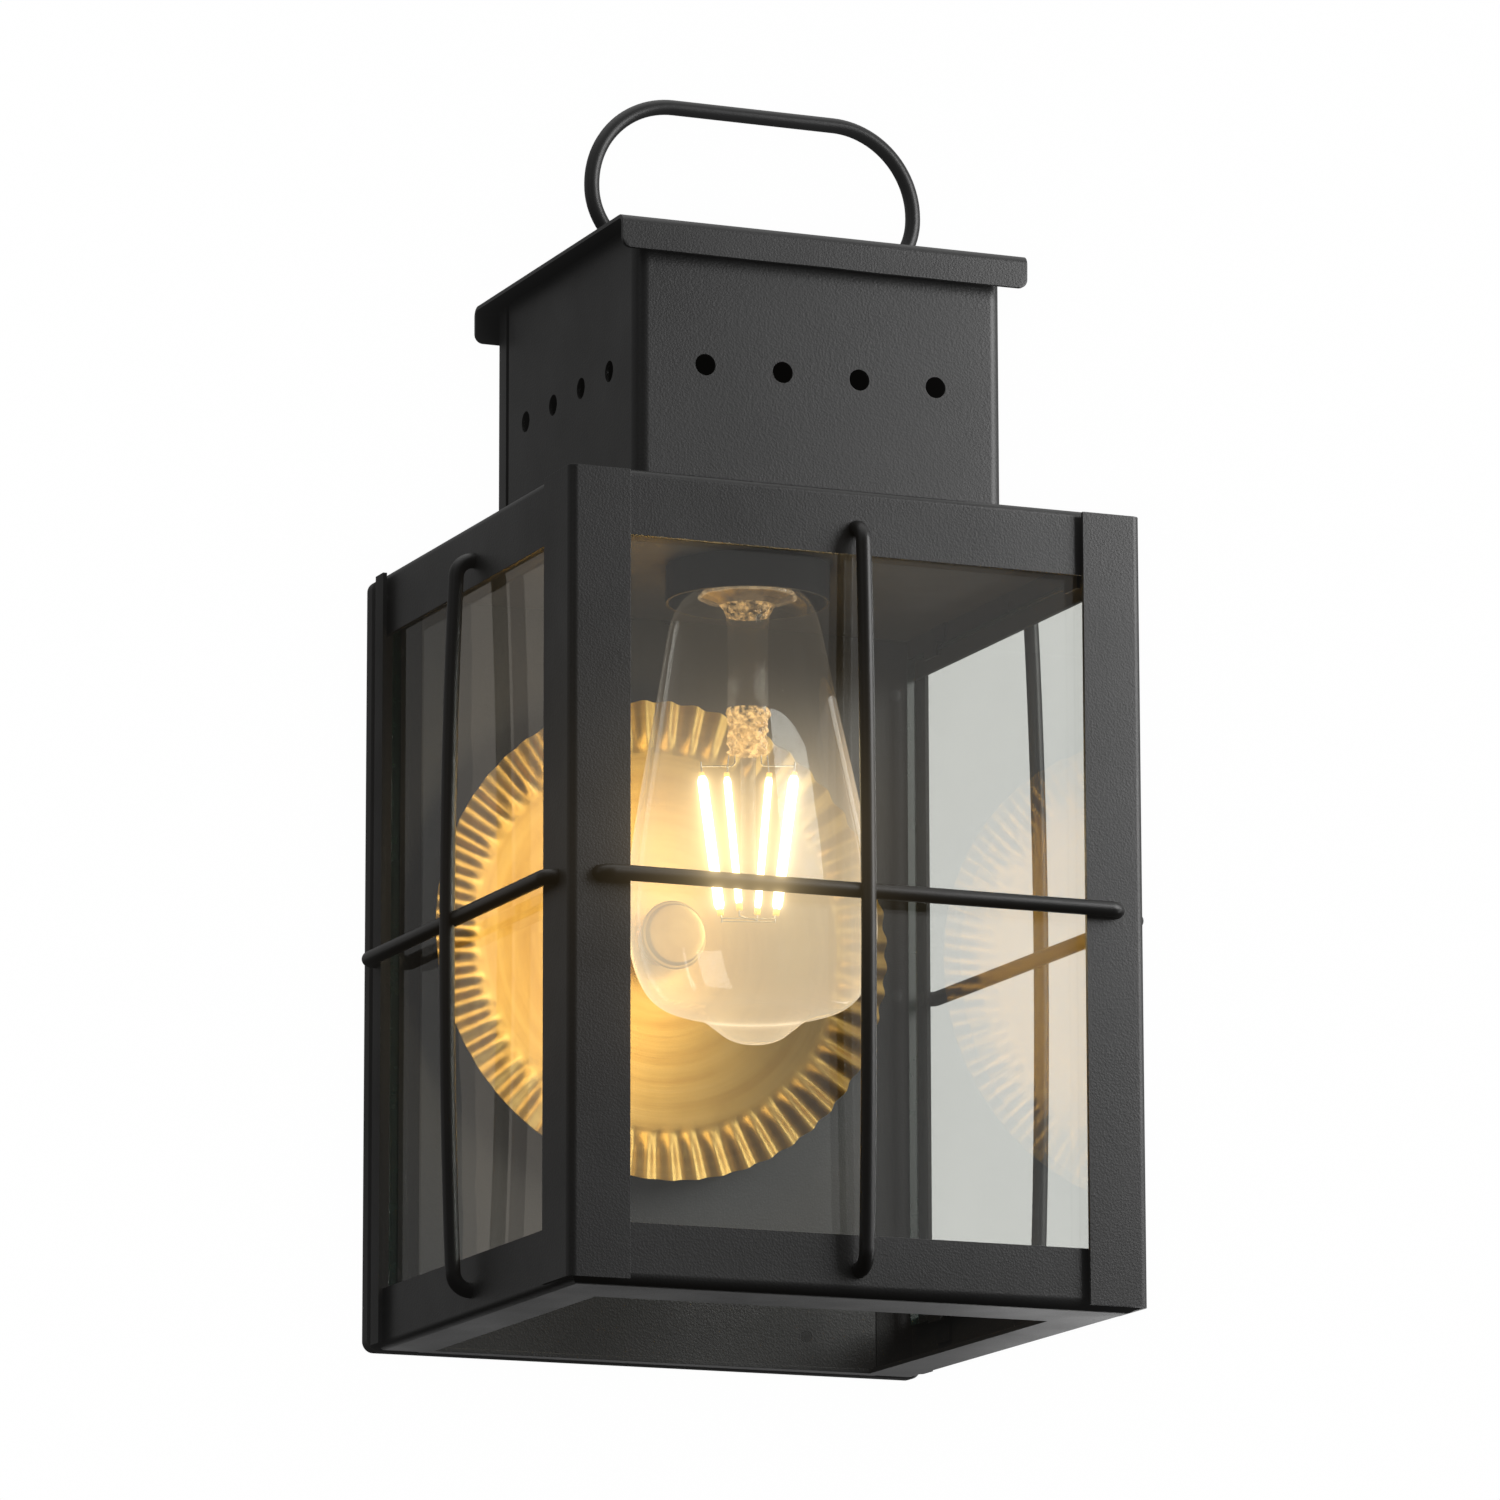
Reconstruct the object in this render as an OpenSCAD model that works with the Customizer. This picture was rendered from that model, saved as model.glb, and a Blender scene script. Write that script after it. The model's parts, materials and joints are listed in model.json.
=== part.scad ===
// Lantern wall light: a sheet-steel body with three glass panes and an open
// bottom, a square vented chimney with a cap and a wire bail, round wire
// guards, a crimped brass reflector and one hanging screw-base bulb.
// X is to the right, +Y points into the wall, Z is up. The origin is on the
// wall plane, at the middle of the wall strap. Sizes are in millimetres.

/* [Body] */
// Width over the corner posts
body_w = 158; // [150:1:170]
// Depth from the wall to the front face of the posts
body_d = 147; // [138:1:156]
// Height of the roof above the bottom of the body
body_h = 206.8; // [204:0.2:212]
// Height of the wall strap's middle above the bottom of the body
mount_z = 112; // [108:1:114]
// Thickness of the corner posts
post_t = 1.1; // [1:0.1:1.4]
// Width of a front post seen from the front
post_front = 16.4; // [15:0.2:18]
// Width of a front post seen from the side
post_side = 18.1; // [17:0.1:20]
// How far the rails lie behind the outer faces of the posts
rail_in = 2.2; // [2:0.1:2.6]
// Thickness of the rails and of the roof plate
rail_t = 1.1; // [1:0.1:1.3]
// Height of the top rail
top_rail = 17.1; // [16:0.1:18]
// Height of the bottom rail
bottom_rail = 15.3; // [15:0.1:18]
// Depth of the back pan behind the body
pan_d = 4.6; // [4.6:0.1:5.2]

/* [Chimney and cap] */
// Width of the chimney shell
chimney_w = 102.8; // [98:0.2:104]
// Depth of the chimney
chimney_d = 98.4; // [97:0.2:101]
// Height of the chimney above the roof
chimney_h = 70.4; // [66:0.2:76]
// Diameter of the vent holes
vent_d = 5.6; // [5:0.1:7]
// Width of the cap
cap_w = 113.6; // [112:0.2:118]
// Depth of the cap
cap_d = 106.2; // [105:0.2:108]
// Height of the folded lips of the cap
cap_lip = 9; // [7:0.5:12]

/* [Handle and guards] */
// Diameter of the handle wire
wire_d = 4; // [3.6:0.1:4]
// Width of the handle, from wire centre to wire centre
handle_w = 91.8; // [84:0.2:92]
// Height of the handle, from wire centre to wire centre
handle_h = 41.5; // [41.2:0.1:44]
// How far the handle's plane lies in front of the chimney's middle
handle_fwd = 4.5; // [0:0.5:6]
// Diameter of the guard rods
guard_d = 4; // [3.6:0.1:4]
// Distance of a cross rod's centre from the post faces
guard_off = 2.6; // [2.5:0.1:3.2]
// Distance of an upright rod's centre from the post faces
guard_up_off = 4.6; // [4.2:0.1:5]

/* [Reflector and bulb] */
// Diameter of the reflector
reflector_d = 129.6; // [120:0.4:132]
// Diameter of the reflector's hand nut
nut_d = 18.4; // [16:0.2:19]
// Largest diameter of the bulb
bulb_d = 65.2; // [60:0.2:66]
// Pitch of the lamp thread
lamp_pitch = 3.63; // [3.6:0.01:3.7]

/* [Wall fixing] */
// Distance between the two slots of the wall strap
slot_pitch = 88.9; // [80:0.1:90]
// Width of a slot
slot_w = 4.6; // [4.4:0.1:5]
// Length of a slot
slot_len = 9; // [8:0.5:11]
// Distance between the two studs of the wall strap
stud_pitch = 60; // [56:1:64]

/* [Hidden] */
$fn = 48;
hw = body_w / 2;
ro = hw - rail_in;                 // half width over the side rails
fy = -(body_d - rail_in);          // outer face of the front rail
ri = ro - rail_t;                  // inner face of the side rails
fi = fy + rail_t;                  // inner face of the front rail
my = -body_d / 2;                  // middle of the body and of the chimney
post_r = 2.2;
glass_t = 2.5;
glass_z0 = 12.5;
glass_z1 = 194.9;
rear_leg = 13.6;
rear_side = 7.6;
sheet = 1;
post_top = body_h - 0.8;           // top of the corner posts and of the back pan
chimney_r = 3.6;                   // outer bend radius of the chimney's front corners
strip = 6.3;                       // depth of the chimney back's side strips
groove = 2;                        // gap between the strips and the shell's sides
vent_zf = 241.5;
vent_zs = 242.2;
lamp_up = 0.6;                     // height of the lampholder above its drawn heights
chim_z1 = body_h + chimney_h;
cap_t = 1.1;
cap_z = chim_z1 + cap_t;
bar_z = cap_z + wire_d / 2 + 0.6;
handle_r = 23;                     // upper corners of the handle
handle_rb = 18;                    // lower corners of the handle
hy = my - handle_fwd;
g_up_hi = body_h - 10.3;
g_up_lo = 6.5;
g_cross = 102.1;
lap = (guard_up_off - guard_off) / 2;
g_x = body_w / 2 - 8.2;
g_yf = -body_d + 9;
g_yr = -8.4;
cup_z0 = 191.6;
cup_z1 = 240.6;
lead_x = 6;
wall_in = pan_d - 1;               // depth of the recess behind the back pan

module place() { translate([0, 0, -mount_z]) children(); }
module steel() { color([0.13, 0.13, 0.135]) place() children(); }

// box from its low and high corners
module bx(a, b) { translate(a) cube([b[0] - a[0], b[1] - a[1], b[2] - a[2]]); }
// cylinders along X and Y, from a start point
module cx(p, d, l) { translate(p) rotate([0, 90, 0]) cylinder(d = d, h = l); }
module cy(p, d, l) { translate(p) rotate([-90, 0, 0]) cylinder(d = d, h = l); }
module cz(p, d, l) { translate(p) cylinder(d = d, h = l); }

// bent angle section: legs a along x and b along y, outer bend radius r
module angle2d(a, b, t, r) {
  difference() {
    union() {
      translate([r, 0]) square([a - r, t]);
      translate([0, r]) square([t, b - r]);
      intersection() { translate([r, r]) circle(r = r); square([r, r]); }
    }
    translate([r, r]) circle(r = r - t);
  }
}

// cutter that rounds an outside edge along X, at y0/z0; sy and sz point into the sheet
module edge_x(x0, x1, y0, z0, sy, sz, r) {
  difference() {
    bx([x0, min(y0 - sy, y0 + sy * r), min(z0 - sz, z0 + sz * r)],
       [x1, max(y0 - sy, y0 + sy * r), max(z0 - sz, z0 + sz * r)]);
    cx([x0 - 1, y0 + sy * r, z0 + sz * r], 2 * r, x1 - x0 + 2);
  }
}
module edge_y(y0, y1, x0, z0, sx, sz, r) {
  difference() {
    bx([min(x0 - sx, x0 + sx * r), y0, min(z0 - sz, z0 + sz * r)],
       [max(x0 - sx, x0 + sx * r), y1, max(z0 - sz, z0 + sz * r)]);
    cy([x0 + sx * r, y0 - 1, z0 + sz * r], 2 * r, y1 - y0 + 2);
  }
}

// ---------- body sheet metal ----------
module roof_tray() {
  steel() difference() {
    bx([-ro, fy, body_h - top_rail], [ro, -pan_d - post_t, body_h]);
    bx([-ri, fi, body_h - top_rail - 1], [ri, 1, body_h - rail_t]);
    // opening under the chimney
    bx([-42, my - 41, body_h - 3], [42, -30, body_h + 1]);
    edge_x(-ro - 1, ro + 1, fy, body_h, 1, -1, 2);
    for (s = [-1, 1]) edge_y(fy - 1, 1, s * ro, body_h, -s, -1, 2);
    // guard rod holes
    cy([0, fy - 1, g_up_hi], guard_d, 3);
    for (s = [-1, 1]) cx([s * (ro - 0.5) - 1.5, my, g_up_hi], guard_d, 3);
    for (s = [-1, 1], t = [-1, 1]) cz([s * 46, my + t * 30, body_h - 3], 3, 5);
  }
}

module ceiling_plate() {
  z = body_h - rail_t - 3.5 - 1.1;
  steel() difference() {
    bx([-ri + 0.1, fi + 0.1, z], [ri - 0.1, -pan_d - post_t, body_h - rail_t]);
    bx([-ri + 1.2, fi - 1, z + 1.1], [ri - 1.2, 1, body_h]);
    cz([0, my, z - 1], 43, 4);
  }
}

module bottom_frame() {
  fz = -0.4;
  steel() difference() {
    union() {
      difference() {
        bx([-ro, fy, fz], [ro, -pan_d - post_t, bottom_rail]);
        difference() {
          bx([-ri, fi, fz + rail_t], [ri, 1, bottom_rail + 1]);
          edge_x(-ri - 1, ri + 1, fi, fz + rail_t, 1, 1, 3.2 - rail_t);
          for (s = [-1, 1]) edge_y(fi - 1, 2, s * ri, fz + rail_t, -s, 1, 2.2 - rail_t);
        }
        bx([-hw + 17, -body_d + 25, -1], [hw - 17, -9, 3]);
      }
      // rear upstand on the back plate
      bx([-65.2, -pan_d - post_t, fz], [65.2, -pan_d, 17]);
    }
    edge_x(-ro - 1, ro + 1, fy, fz, 1, 1, 3.2);
    for (s = [-1, 1]) edge_y(fy - 1, 1, s * ro, fz, -s, 1, 2.2);
    cy([0, fy - 1, g_up_lo], guard_d, 3);
    for (s = [-1, 1]) cx([s * (ro - 0.5) - 1.5, my, g_up_lo], guard_d, 3);
    for (x = [-45, 45]) cy([x, -8, 9], 3.2, 8);
  }
}

module front_post() {
  difference() {
    union() {
      translate([-hw, -body_d, 0.8]) linear_extrude(height = post_top - 0.8)
        angle2d(post_front, post_side, post_t, post_r);
      // weld pads between the post and the rails
      for (z = [9, body_h - 8]) {
        cy([-hw + 9, -body_d + post_t, z], 5, rail_in - post_t);
        cx([-hw + post_t, -body_d + 10, z], 5, rail_in - post_t);
      }
    }
    // guard rod holes
    cy([-g_x, -body_d - 1, g_cross], guard_d, 3);
    cx([-hw - 1, g_yf, g_cross], guard_d, 3);
    bx([-hw - 1, -body_d - 1, post_top], [0, 0, body_h + 4]);
  }
}
module post_front_left() { steel() front_post(); }
module post_front_right() { steel() mirror([1, 0, 0]) front_post(); }

module rear_post() {
  difference() {
    union() {
      translate([-hw, -pan_d, 0.6]) mirror([0, 1, 0]) linear_extrude(height = post_top - 0.6)
        angle2d(rear_leg, rear_side, post_t, post_r);
      for (z = [9, body_h - 8]) cx([-hw + post_t, -pan_d - 5, z], 3.4, rail_in - post_t);
    }
    cx([-hw - 1, g_yr, g_cross], guard_d, 3);
    for (z = [20, 103, 186]) cy([-72, -8, z], 3.2, 8);
  }
}
module post_rear_left() { steel() rear_post(); }
module post_rear_right() { steel() mirror([1, 0, 0]) rear_post(); }

module pan2d(inset, r) {
  w = hw - inset - r;
  z0 = -0.6 + inset + r;
  z1 = post_top - inset - r;
  union() {
    translate([-w, z0 - r]) square([2 * w, z1 - z0 + 2 * r]);
    translate([-w - r, z0]) square([2 * w + 2 * r, z1 - z0]);
    for (x = [-w, w], z = [z0, z1]) translate([x, z]) circle(r = r);
  }
}
// a slab of the pan's outline between two depths from the wall
module pan_slab(inset, r, y0, y1) {
  translate([0, y1, 0]) rotate([90, 0, 0]) linear_extrude(height = y1 - y0) pan2d(inset, r);
}

module back_pan() {
  steel() difference() {
    union() {
      pan_slab(0, 3, -pan_d + 0.9, 0);
      pan_slab(0.5, 2.5, -pan_d, -pan_d + 0.9);
    }
    pan_slab(1.1, 2, -wall_in, 1);
    cy([0, -8, mount_z], 5, 8);
    for (x = [-1, 1]) cy([x * stud_pitch / 2, -8, mount_z], 4.4, 8);
    for (x = [-lead_x, lead_x]) cy([x, -8, lead_z], 4.6, 8);
    for (s = [-1, 1], z = [20, 103, 186]) cy([s * 72, -8, z], 3.2, 8);
    for (x = [-45, 45]) cy([x, -8, 9], 3.2, 8);
  }
}
lead_z = body_h - rail_t - 2.15;

module flush_rivet(x, z) {
  cy([x, -pan_d - post_t, z], 3.2, post_t + 1);
  cy([x, -wall_in, z], 6, 1.2);
}
module body_rivets() {
  color([0.55, 0.55, 0.56]) place() {
    for (s = [-1, 1], z = [20, 103, 186]) flush_rivet(s * 72, z);
    for (x = [-45, 45]) flush_rivet(x, 9);
  }
}

// ---------- chimney ----------
cw = chimney_w / 2;
cf = my - chimney_d / 2;           // front face of the chimney
cr = my + chimney_d / 2;           // rear face of the chimney back
module chimney2d(inset) {
  r = chimney_r;
  union() {
    translate([-cw + r, cf + inset]) square([2 * (cw - r), 6]);
    translate([-cw + inset, cf + r]) square([2 * (cw - inset), chimney_d - r - strip - groove]);
    for (s = [-1, 1]) translate([s * (cw - r), cf + r]) circle(r = r - inset);
  }
}
module chimney_shell() {
  steel() difference() {
    translate([0, 0, body_h]) linear_extrude(height = chimney_h) chimney2d(0);
    translate([0, 0, body_h + sheet]) linear_extrude(height = chimney_h - 2 * sheet)
      difference() {
        chimney2d(sheet);
      }
    // the rear is open, the floor and the top are left as inward flanges
    bx([-cw + sheet, cr - 12, body_h + sheet], [cw - sheet, cr + 2, chim_z1 - sheet]);
    bx([-42.4, cf + 8, body_h - 1], [42.4, cr + 2, body_h + 2]);
    bx([-42.4, cf + 8, chim_z1 - 2], [42.4, cr + 2, chim_z1 + 1]);
    for (i = [-1.5:1:1.5]) {
      cy([i * 21.5, cf - 1, vent_zf], vent_d, 3);
      cx([-cw - 1, my - 1 + i * 19.7, vent_zs], vent_d, 2 * cw + 2);
    }
    for (s = [-1, 1], t = [-1, 1]) {
      cz([s * 46, my + t * 30, body_h - 1], 3, 3);
      cz([s * 46, my + t * 37, chim_z1 - 2], 3, 4);
    }
    for (s = [-1, 1], z = [216, 266]) cx([s * cw - 1.5, cr - strip - 5, z], 3, 3);
  }
}
module chimney_back() {
  f = cr - strip;
  steel() difference() {
    union() {
      bx([-cw, cr - sheet, body_h], [cw, cr, chim_z1]);
      for (s = [-1, 1]) {
        bx([min(s * cw, s * (cw - sheet)), f, body_h], [max(s * cw, s * (cw - sheet)), cr, chim_z1]);
        // step and tongue that lies inside the shell
        bx([min(s * (cw - 0.5), s * (cw - 2 * sheet)), f, body_h + sheet],
           [max(s * (cw - 0.5), s * (cw - 2 * sheet)), f + sheet, chim_z1 - sheet]);
        bx([min(s * (cw - sheet), s * (cw - 2 * sheet)), f - 8, body_h + sheet],
           [max(s * (cw - sheet), s * (cw - 2 * sheet)), f + sheet, chim_z1 - sheet]);
      }
      bx([-42, cr - 6, body_h], [42, cr, body_h + sheet]);
    }
    for (s = [-1, 1]) difference() {
      bx([min(s * (cw + 1), s * (cw - 1.5)), cr - 1.5, body_h - 1],
         [max(s * (cw + 1), s * (cw - 1.5)), cr + 1, chim_z1 + 1]);
      cz([s * (cw - 1.5), cr - 1.5, body_h - 2], 3, chimney_h + 4);
    }
    for (s = [-1, 1], z = [216, 266]) cx([s * cw - 3.5, f - 5, z], 3, 7);
  }
}
module chimney_rivets() {
  color([0.5, 0.5, 0.5]) place() for (s = [-1, 1], z = [216, 266]) mirror([s < 0 ? 1 : 0, 0, 0]) {
    cx([cw - 2 * sheet, cr - strip - 5, z], 3, 2 * sheet);
    cx([cw - 2 * sheet - 1, cr - strip - 5, z], 5.2, 1);
  }
}
module chimney_screws() {
  color([0.6, 0.6, 0.62]) place() for (s = [-1, 1], t = [-1, 1]) {
    difference() {
      cz([s * 46, my + t * 30, body_h - rail_t - 1.6], 5.6, 1.6);
      bx([s * 46 - 2, my + t * 30 - 0.4, body_h - rail_t - 2], [s * 46 + 2, my + t * 30 + 0.4, body_h - rail_t - 0.9]);
      bx([s * 46 - 0.4, my + t * 30 - 2, body_h - rail_t - 2], [s * 46 + 0.4, my + t * 30 + 2, body_h - rail_t - 0.9]);
    }
    cz([s * 46, my + t * 30, body_h - rail_t], 3, rail_t + sheet + 2.4);
  }
}

module cap() {
  y0 = my - 0.4 - cap_d / 2;
  y1 = my - 0.4 + cap_d / 2;
  r = 2.5;
  steel() difference() {
    union() {
      bx([-cap_w / 2, y0, cap_z - cap_lip], [cap_w / 2, y1, cap_z]);
      // the rear lip is a little deeper
      bx([-cap_w / 2, y1 - cap_t, cap_z - cap_lip - 0.7], [cap_w / 2, y1, cap_z - 4]);
    }
    difference() {
      bx([-cap_w, y0 + cap_t, cap_z - cap_lip - 1], [cap_w, y1 - cap_t, cap_z - cap_t]);
      edge_x(-cap_w - 1, cap_w + 1, y0 + cap_t, cap_z - cap_t, 1, -1, r - cap_t);
      edge_x(-cap_w - 1, cap_w + 1, y1 - cap_t, cap_z - cap_t, -1, -1, r - cap_t);
    }
    edge_x(-cap_w, cap_w, y0, cap_z, 1, -1, r);
    edge_x(-cap_w, cap_w, y1, cap_z, -1, -1, r);
    // rounded lower corners of the lips
    for (s = [-1, 1]) {
      edge_y(y0 - 1, y0 + cap_t + 1, s * cap_w / 2, cap_z - cap_lip, -s, 1, 2.4);
      edge_y(y1 - cap_t - 1, y1 + 1, s * cap_w / 2, cap_z - cap_lip - 0.7, -s, 1, 2.4);
    }
    for (s = [-1, 1], t = [-1, 1]) cz([s * 46, my + t * 37, cap_z - 3], 3, 5);
    for (s = [-1, 1], t = [-1, 1]) cz([s * 18, hy + t * 7, cap_z - 3], 3, 5);
  }
}
module cap_rivets() {
  color([0.15, 0.15, 0.155]) place() for (s = [-1, 1], t = [-1, 1]) {
    cz([s * 46, my + t * 37, chim_z1 - sheet], 3, sheet + cap_t);
    cz([s * 46, my + t * 37, cap_z], 5.2, 0.9);
    cz([s * 46, my + t * 37, chim_z1 - sheet - 0.9], 4.6, 0.9);
  }
}

// ---------- handle ----------
module quarter(r, d) { rotate_extrude(angle = 90, $fn = 64) translate([r, 0]) circle(d = d, $fn = 32); }
module handle() {
  steel() translate([0, hy, bar_z]) rotate([90, 0, 0]) {
    for (s = [0, 1]) mirror([s, 0, 0]) {
      translate([handle_w / 2 - handle_r, handle_h - handle_r, 0]) quarter(handle_r, wire_d);
      translate([handle_w / 2 - handle_rb, handle_rb, 0]) rotate([0, 0, -90]) quarter(handle_rb, wire_d);
      translate([handle_w / 2, handle_rb, 0]) rotate([-90, 0, 0])
        cylinder(d = wire_d, h = handle_h - handle_r - handle_rb, $fn = 32);
    }
    translate([handle_rb - handle_w / 2, 0, 0]) rotate([0, 90, 0])
      cylinder(d = wire_d, h = handle_w - 2 * handle_rb, $fn = 32);
    translate([handle_r - handle_w / 2, handle_h, 0]) rotate([0, 90, 0])
      cylinder(d = wire_d, h = handle_w - 2 * handle_r, $fn = 32);
  }
}
module handle_saddles() {
  steel() for (s = [-1, 1]) difference() {
    union() {
      cx([s * 18 - 4, hy, bar_z], 7, 8);
      bx([s * 18 - 4, hy - 3.5, cap_z], [s * 18 + 4, hy + 3.5, bar_z]);
      bx([s * 18 - 4, hy - 10.5, cap_z], [s * 18 + 4, hy + 10.5, cap_z + 1.1]);
    }
    cx([s * 18 - 6, hy, bar_z], wire_d + 0.12, 12);
    bx([s * 18 - 6, hy - 5, cap_z - 2], [s * 18 + 6, hy + 5, cap_z]);
    for (t = [-1, 1]) cz([s * 18, hy + t * 7, cap_z - 1], 3, 4);
  }
}
module saddle_rivets() {
  color([0.15, 0.15, 0.155]) place() for (s = [-1, 1], t = [-1, 1]) {
    cz([s * 18, hy + t * 7, chim_z1], 3, cap_t + 1.1);
    cz([s * 18, hy + t * 7, cap_z + 1.1], 5.2, 0.9);
    cz([s * 18, hy + t * 7, chim_z1 - 0.9], 4.6, 0.9);
  }
}

// ---------- glazing ----------
module glass() { color([0.8, 0.88, 0.88, 0.3]) place() children(); }
module glass_front() { glass() bx([-67, fi, glass_z0], [67, fi + glass_t, glass_z1]); }
module glass_left() { glass() bx([-ri, -137, glass_z0], [-ri + glass_t, -10.5, glass_z1]); }
module glass_right() { glass() bx([ri - glass_t, -137, glass_z0], [ri, -10.5, glass_z1]); }

// a pane clip: a tab on the rail, a shelf at the pane's edge and a tongue behind the pane
module clip() {
  translate([-4, 0, 0]) rotate([90, 0, 90]) linear_extrude(height = 8)
    polygon([[0, 0], [0.8, 0], [0.8, 5.4], [glass_t + 0.8, 5.4], [glass_t + 0.8, 9.2],
             [glass_t, 9.2], [glass_t, 6.2], [0, 6.2]]);
}
module clip_pair() {
  translate([0, 0, glass_z0 - 6.2]) clip();
  translate([0, 0, glass_z1 + 6.2]) mirror([0, 0, 1]) clip();
}
module glass_clips() {
  color([0.16, 0.16, 0.165]) place() {
    for (x = [-48, 48]) translate([x, fi, 0]) clip_pair();
    for (y = [-118, -28]) {
      translate([-ri, y, 0]) rotate([0, 0, -90]) clip_pair();
      translate([ri, y, 0]) rotate([0, 0, 90]) clip_pair();
    }
  }
}

// ---------- guards ----------
// rod in the XZ plane at y = 0, bowed ends turning towards +Y; drawn along X
module guard_rod(x0, x1, r, stub) {
  d = guard_d;
  cx([x0 + r, 0, 0], d, x1 - x0 - 2 * r);
  translate([x0 + r, r, 0]) rotate([0, 0, 180]) quarter(r, d);
  translate([x1 - r, r, 0]) rotate([0, 0, -90]) quarter(r, d);
  for (x = [x0, x1]) cy([x, r, 0], d, stub);
}
module guard_upright() {
  difference() {
    rotate([0, -90, 0]) guard_rod(g_up_lo, g_up_hi, guard_up_off + rail_in, rail_t);
    bx([-4, lap, g_cross - guard_d / 2], [4, 4, g_cross + guard_d / 2]);
  }
}
module guard_cross(x0, x1, mid) {
  difference() {
    translate([0, 0, g_cross]) guard_rod(x0, x1, guard_off, post_t);
    bx([mid - guard_d / 2, -4, g_cross - 4], [mid + guard_d / 2, -lap, g_cross + 4]);
  }
}
module guard_front_upright() { steel() translate([0, -body_d - guard_up_off, 0]) guard_upright(); }
module guard_front_cross() { steel() translate([0, -body_d - guard_off, 0]) guard_cross(-g_x, g_x, 0); }
module left_up() { translate([-hw - guard_up_off, my, 0]) rotate([0, 0, -90]) guard_upright(); }
module left_cross() { translate([-hw - guard_off, 0, 0]) rotate([0, 0, -90]) guard_cross(-g_yr, -g_yf, -my); }
module guard_left_upright() { steel() left_up(); }
module guard_left_cross() { steel() left_cross(); }
module guard_right_upright() { steel() mirror([1, 0, 0]) left_up(); }
module guard_right_cross() { steel() mirror([1, 0, 0]) left_cross(); }

// ---------- reflector ----------
module brass() { color([0.78, 0.58, 0.28]) place() children(); }
rr = reflector_d / 2;
// turns a profile drawn as [radius, distance from the wall] around the reflector's axis
module around_y() { translate([0, 0, mount_z]) rotate([90, 0, 0]) rotate_extrude($fn = 96) children(); }
module reflector() {
  brass() around_y() polygon([[2.8, 11.4], [8, 11.4], [30, 11.5], [46, 12.0], [52.5, 12.6], [56, 14.2], [rr - 3, 15.4],
    [rr, 15.6], [rr, 16.4], [rr - 3, 16.2], [56, 15], [52.3, 13.4], [46, 12.8], [30, 12.3], [8, 12.2], [2.8, 12.2]]);
}
module reflector_stud() {
  color([0.7, 0.7, 0.72]) place() {
    cy([0, -21, mount_z], 5, 21 - wall_in);
    cy([0, -wall_in, mount_z], 9, 1.4);
  }
}
module reflector_spacer() {
  brass() difference() {
    cy([0, -11.4, mount_z], 9, 11.4 - pan_d);
    cy([0, -12, mount_z], 5.2, 12);
  }
}
module reflector_washer() {
  brass() difference() {
    cy([0, -13.2, mount_z], 13, 1);
    cy([0, -14, mount_z], 5.12, 3);
  }
}
module reflector_nut() {
  n = nut_d / 2;
  brass() around_y() polygon([[2.56, 13.2], [4.8, 13.2], [4.8, 20.4], [5.4, 21.4], [6.4, 21.9], [n - 0.3, 21.9],
    [n, 22.2], [n, 22.7], [n - 0.3, 23], [n - 1, 23], [n - 1, 24.6], [n - 1.5, 25.2], [0, 25.2], [0, 22.4], [2.56, 22.4]]);
}

// ---------- lampholder ----------
module lamp_cup() {
  steel() difference() {
    union() {
      cz([0, my, cup_z0], 43, cup_z1 - cup_z0);
      cz([0, my, body_h - rail_t - 3.5], 54, 0.9);
    }
    cz([0, my, cup_z0 - 1], 41.4, cup_z1 - cup_z0 + 0.2);
    cz([0, my, cup_z0], 10, 60);
    for (x = [-lead_x, lead_x]) cz([x, my + 11, cup_z0], 3.4, 60);
  }
}
body_top = cup_z1 - 0.8 - lamp_up;
module lamp() { place() translate([0, 0, lamp_up]) children(); }
module lampholder_body() {
  color([0.09, 0.085, 0.08]) lamp() difference() {
    union() {
      cz([0, my, 204], 37.6, body_top - 204);
      cz([0, my, 204], 40.6, 3);
    }
    cz([0, my, 203], 28.4, 25);
    cz([0, my, 232], 10, 20);
    for (x = [-9.5, 9.5]) cz([x, my, 226], 2.2, 5);
    cz([0, my, 226], 2.2, 4);
    for (x = [-lead_x, lead_x]) cz([x, my + 11, 231], 2, 20);
  }
}
module lampholder_shell() {
  color([0.72, 0.66, 0.5]) lamp() difference() {
    union() {
      cz([0, my, 204.5], 27.6, 17.5);
      for (s = [-1, 1]) bx([min(s * 12.5, s * 13.8), my - 3, 221], [max(s * 12.5, s * 13.8), my + 3, 228]);
      for (s = [-1, 1]) bx([min(s * 7, s * 13.8), my - 3, 227.2], [max(s * 7, s * 13.8), my + 3, 228]);
    }
    cz([0, my, 203], 26.6, 19.01);
    for (x = [-9.5, 9.5]) cz([x, my, 226], 2.2, 5);
  }
}
module lampholder_contact() {
  color([0.75, 0.6, 0.35]) lamp() difference() {
    translate([0, my + 3, 0]) rotate([90, 0, 0]) linear_extrude(height = 6)
      polygon([[-5, 223.1], [5, 223.1], [5.8, 223.9], [5.8, 228], [-3.4, 228], [-3.4, 227.4], [5.2, 227.4],
               [5.2, 224.2], [4.8, 223.7], [-5, 223.7]]);
    cz([0, my, 226.5], 2.2, 3);
  }
}
module lampholder_screws() {
  color([0.7, 0.7, 0.72]) lamp() {
    for (x = [-9.5, 9.5]) { cz([x, my, 225.9], 4, 1.3); cz([x, my, 227.2], 2.2, 3.8); }
    cz([0, my, 226.2], 4, 1.2);
    cz([0, my, 227.4], 2.2, 2.6);
  }
}
module holder_nipple() {
  color([0.7, 0.7, 0.72]) lamp() difference() {
    cz([0, my, 232], 10, 16);
    cz([0, my, 231], 7.4, 18);
  }
}
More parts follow.
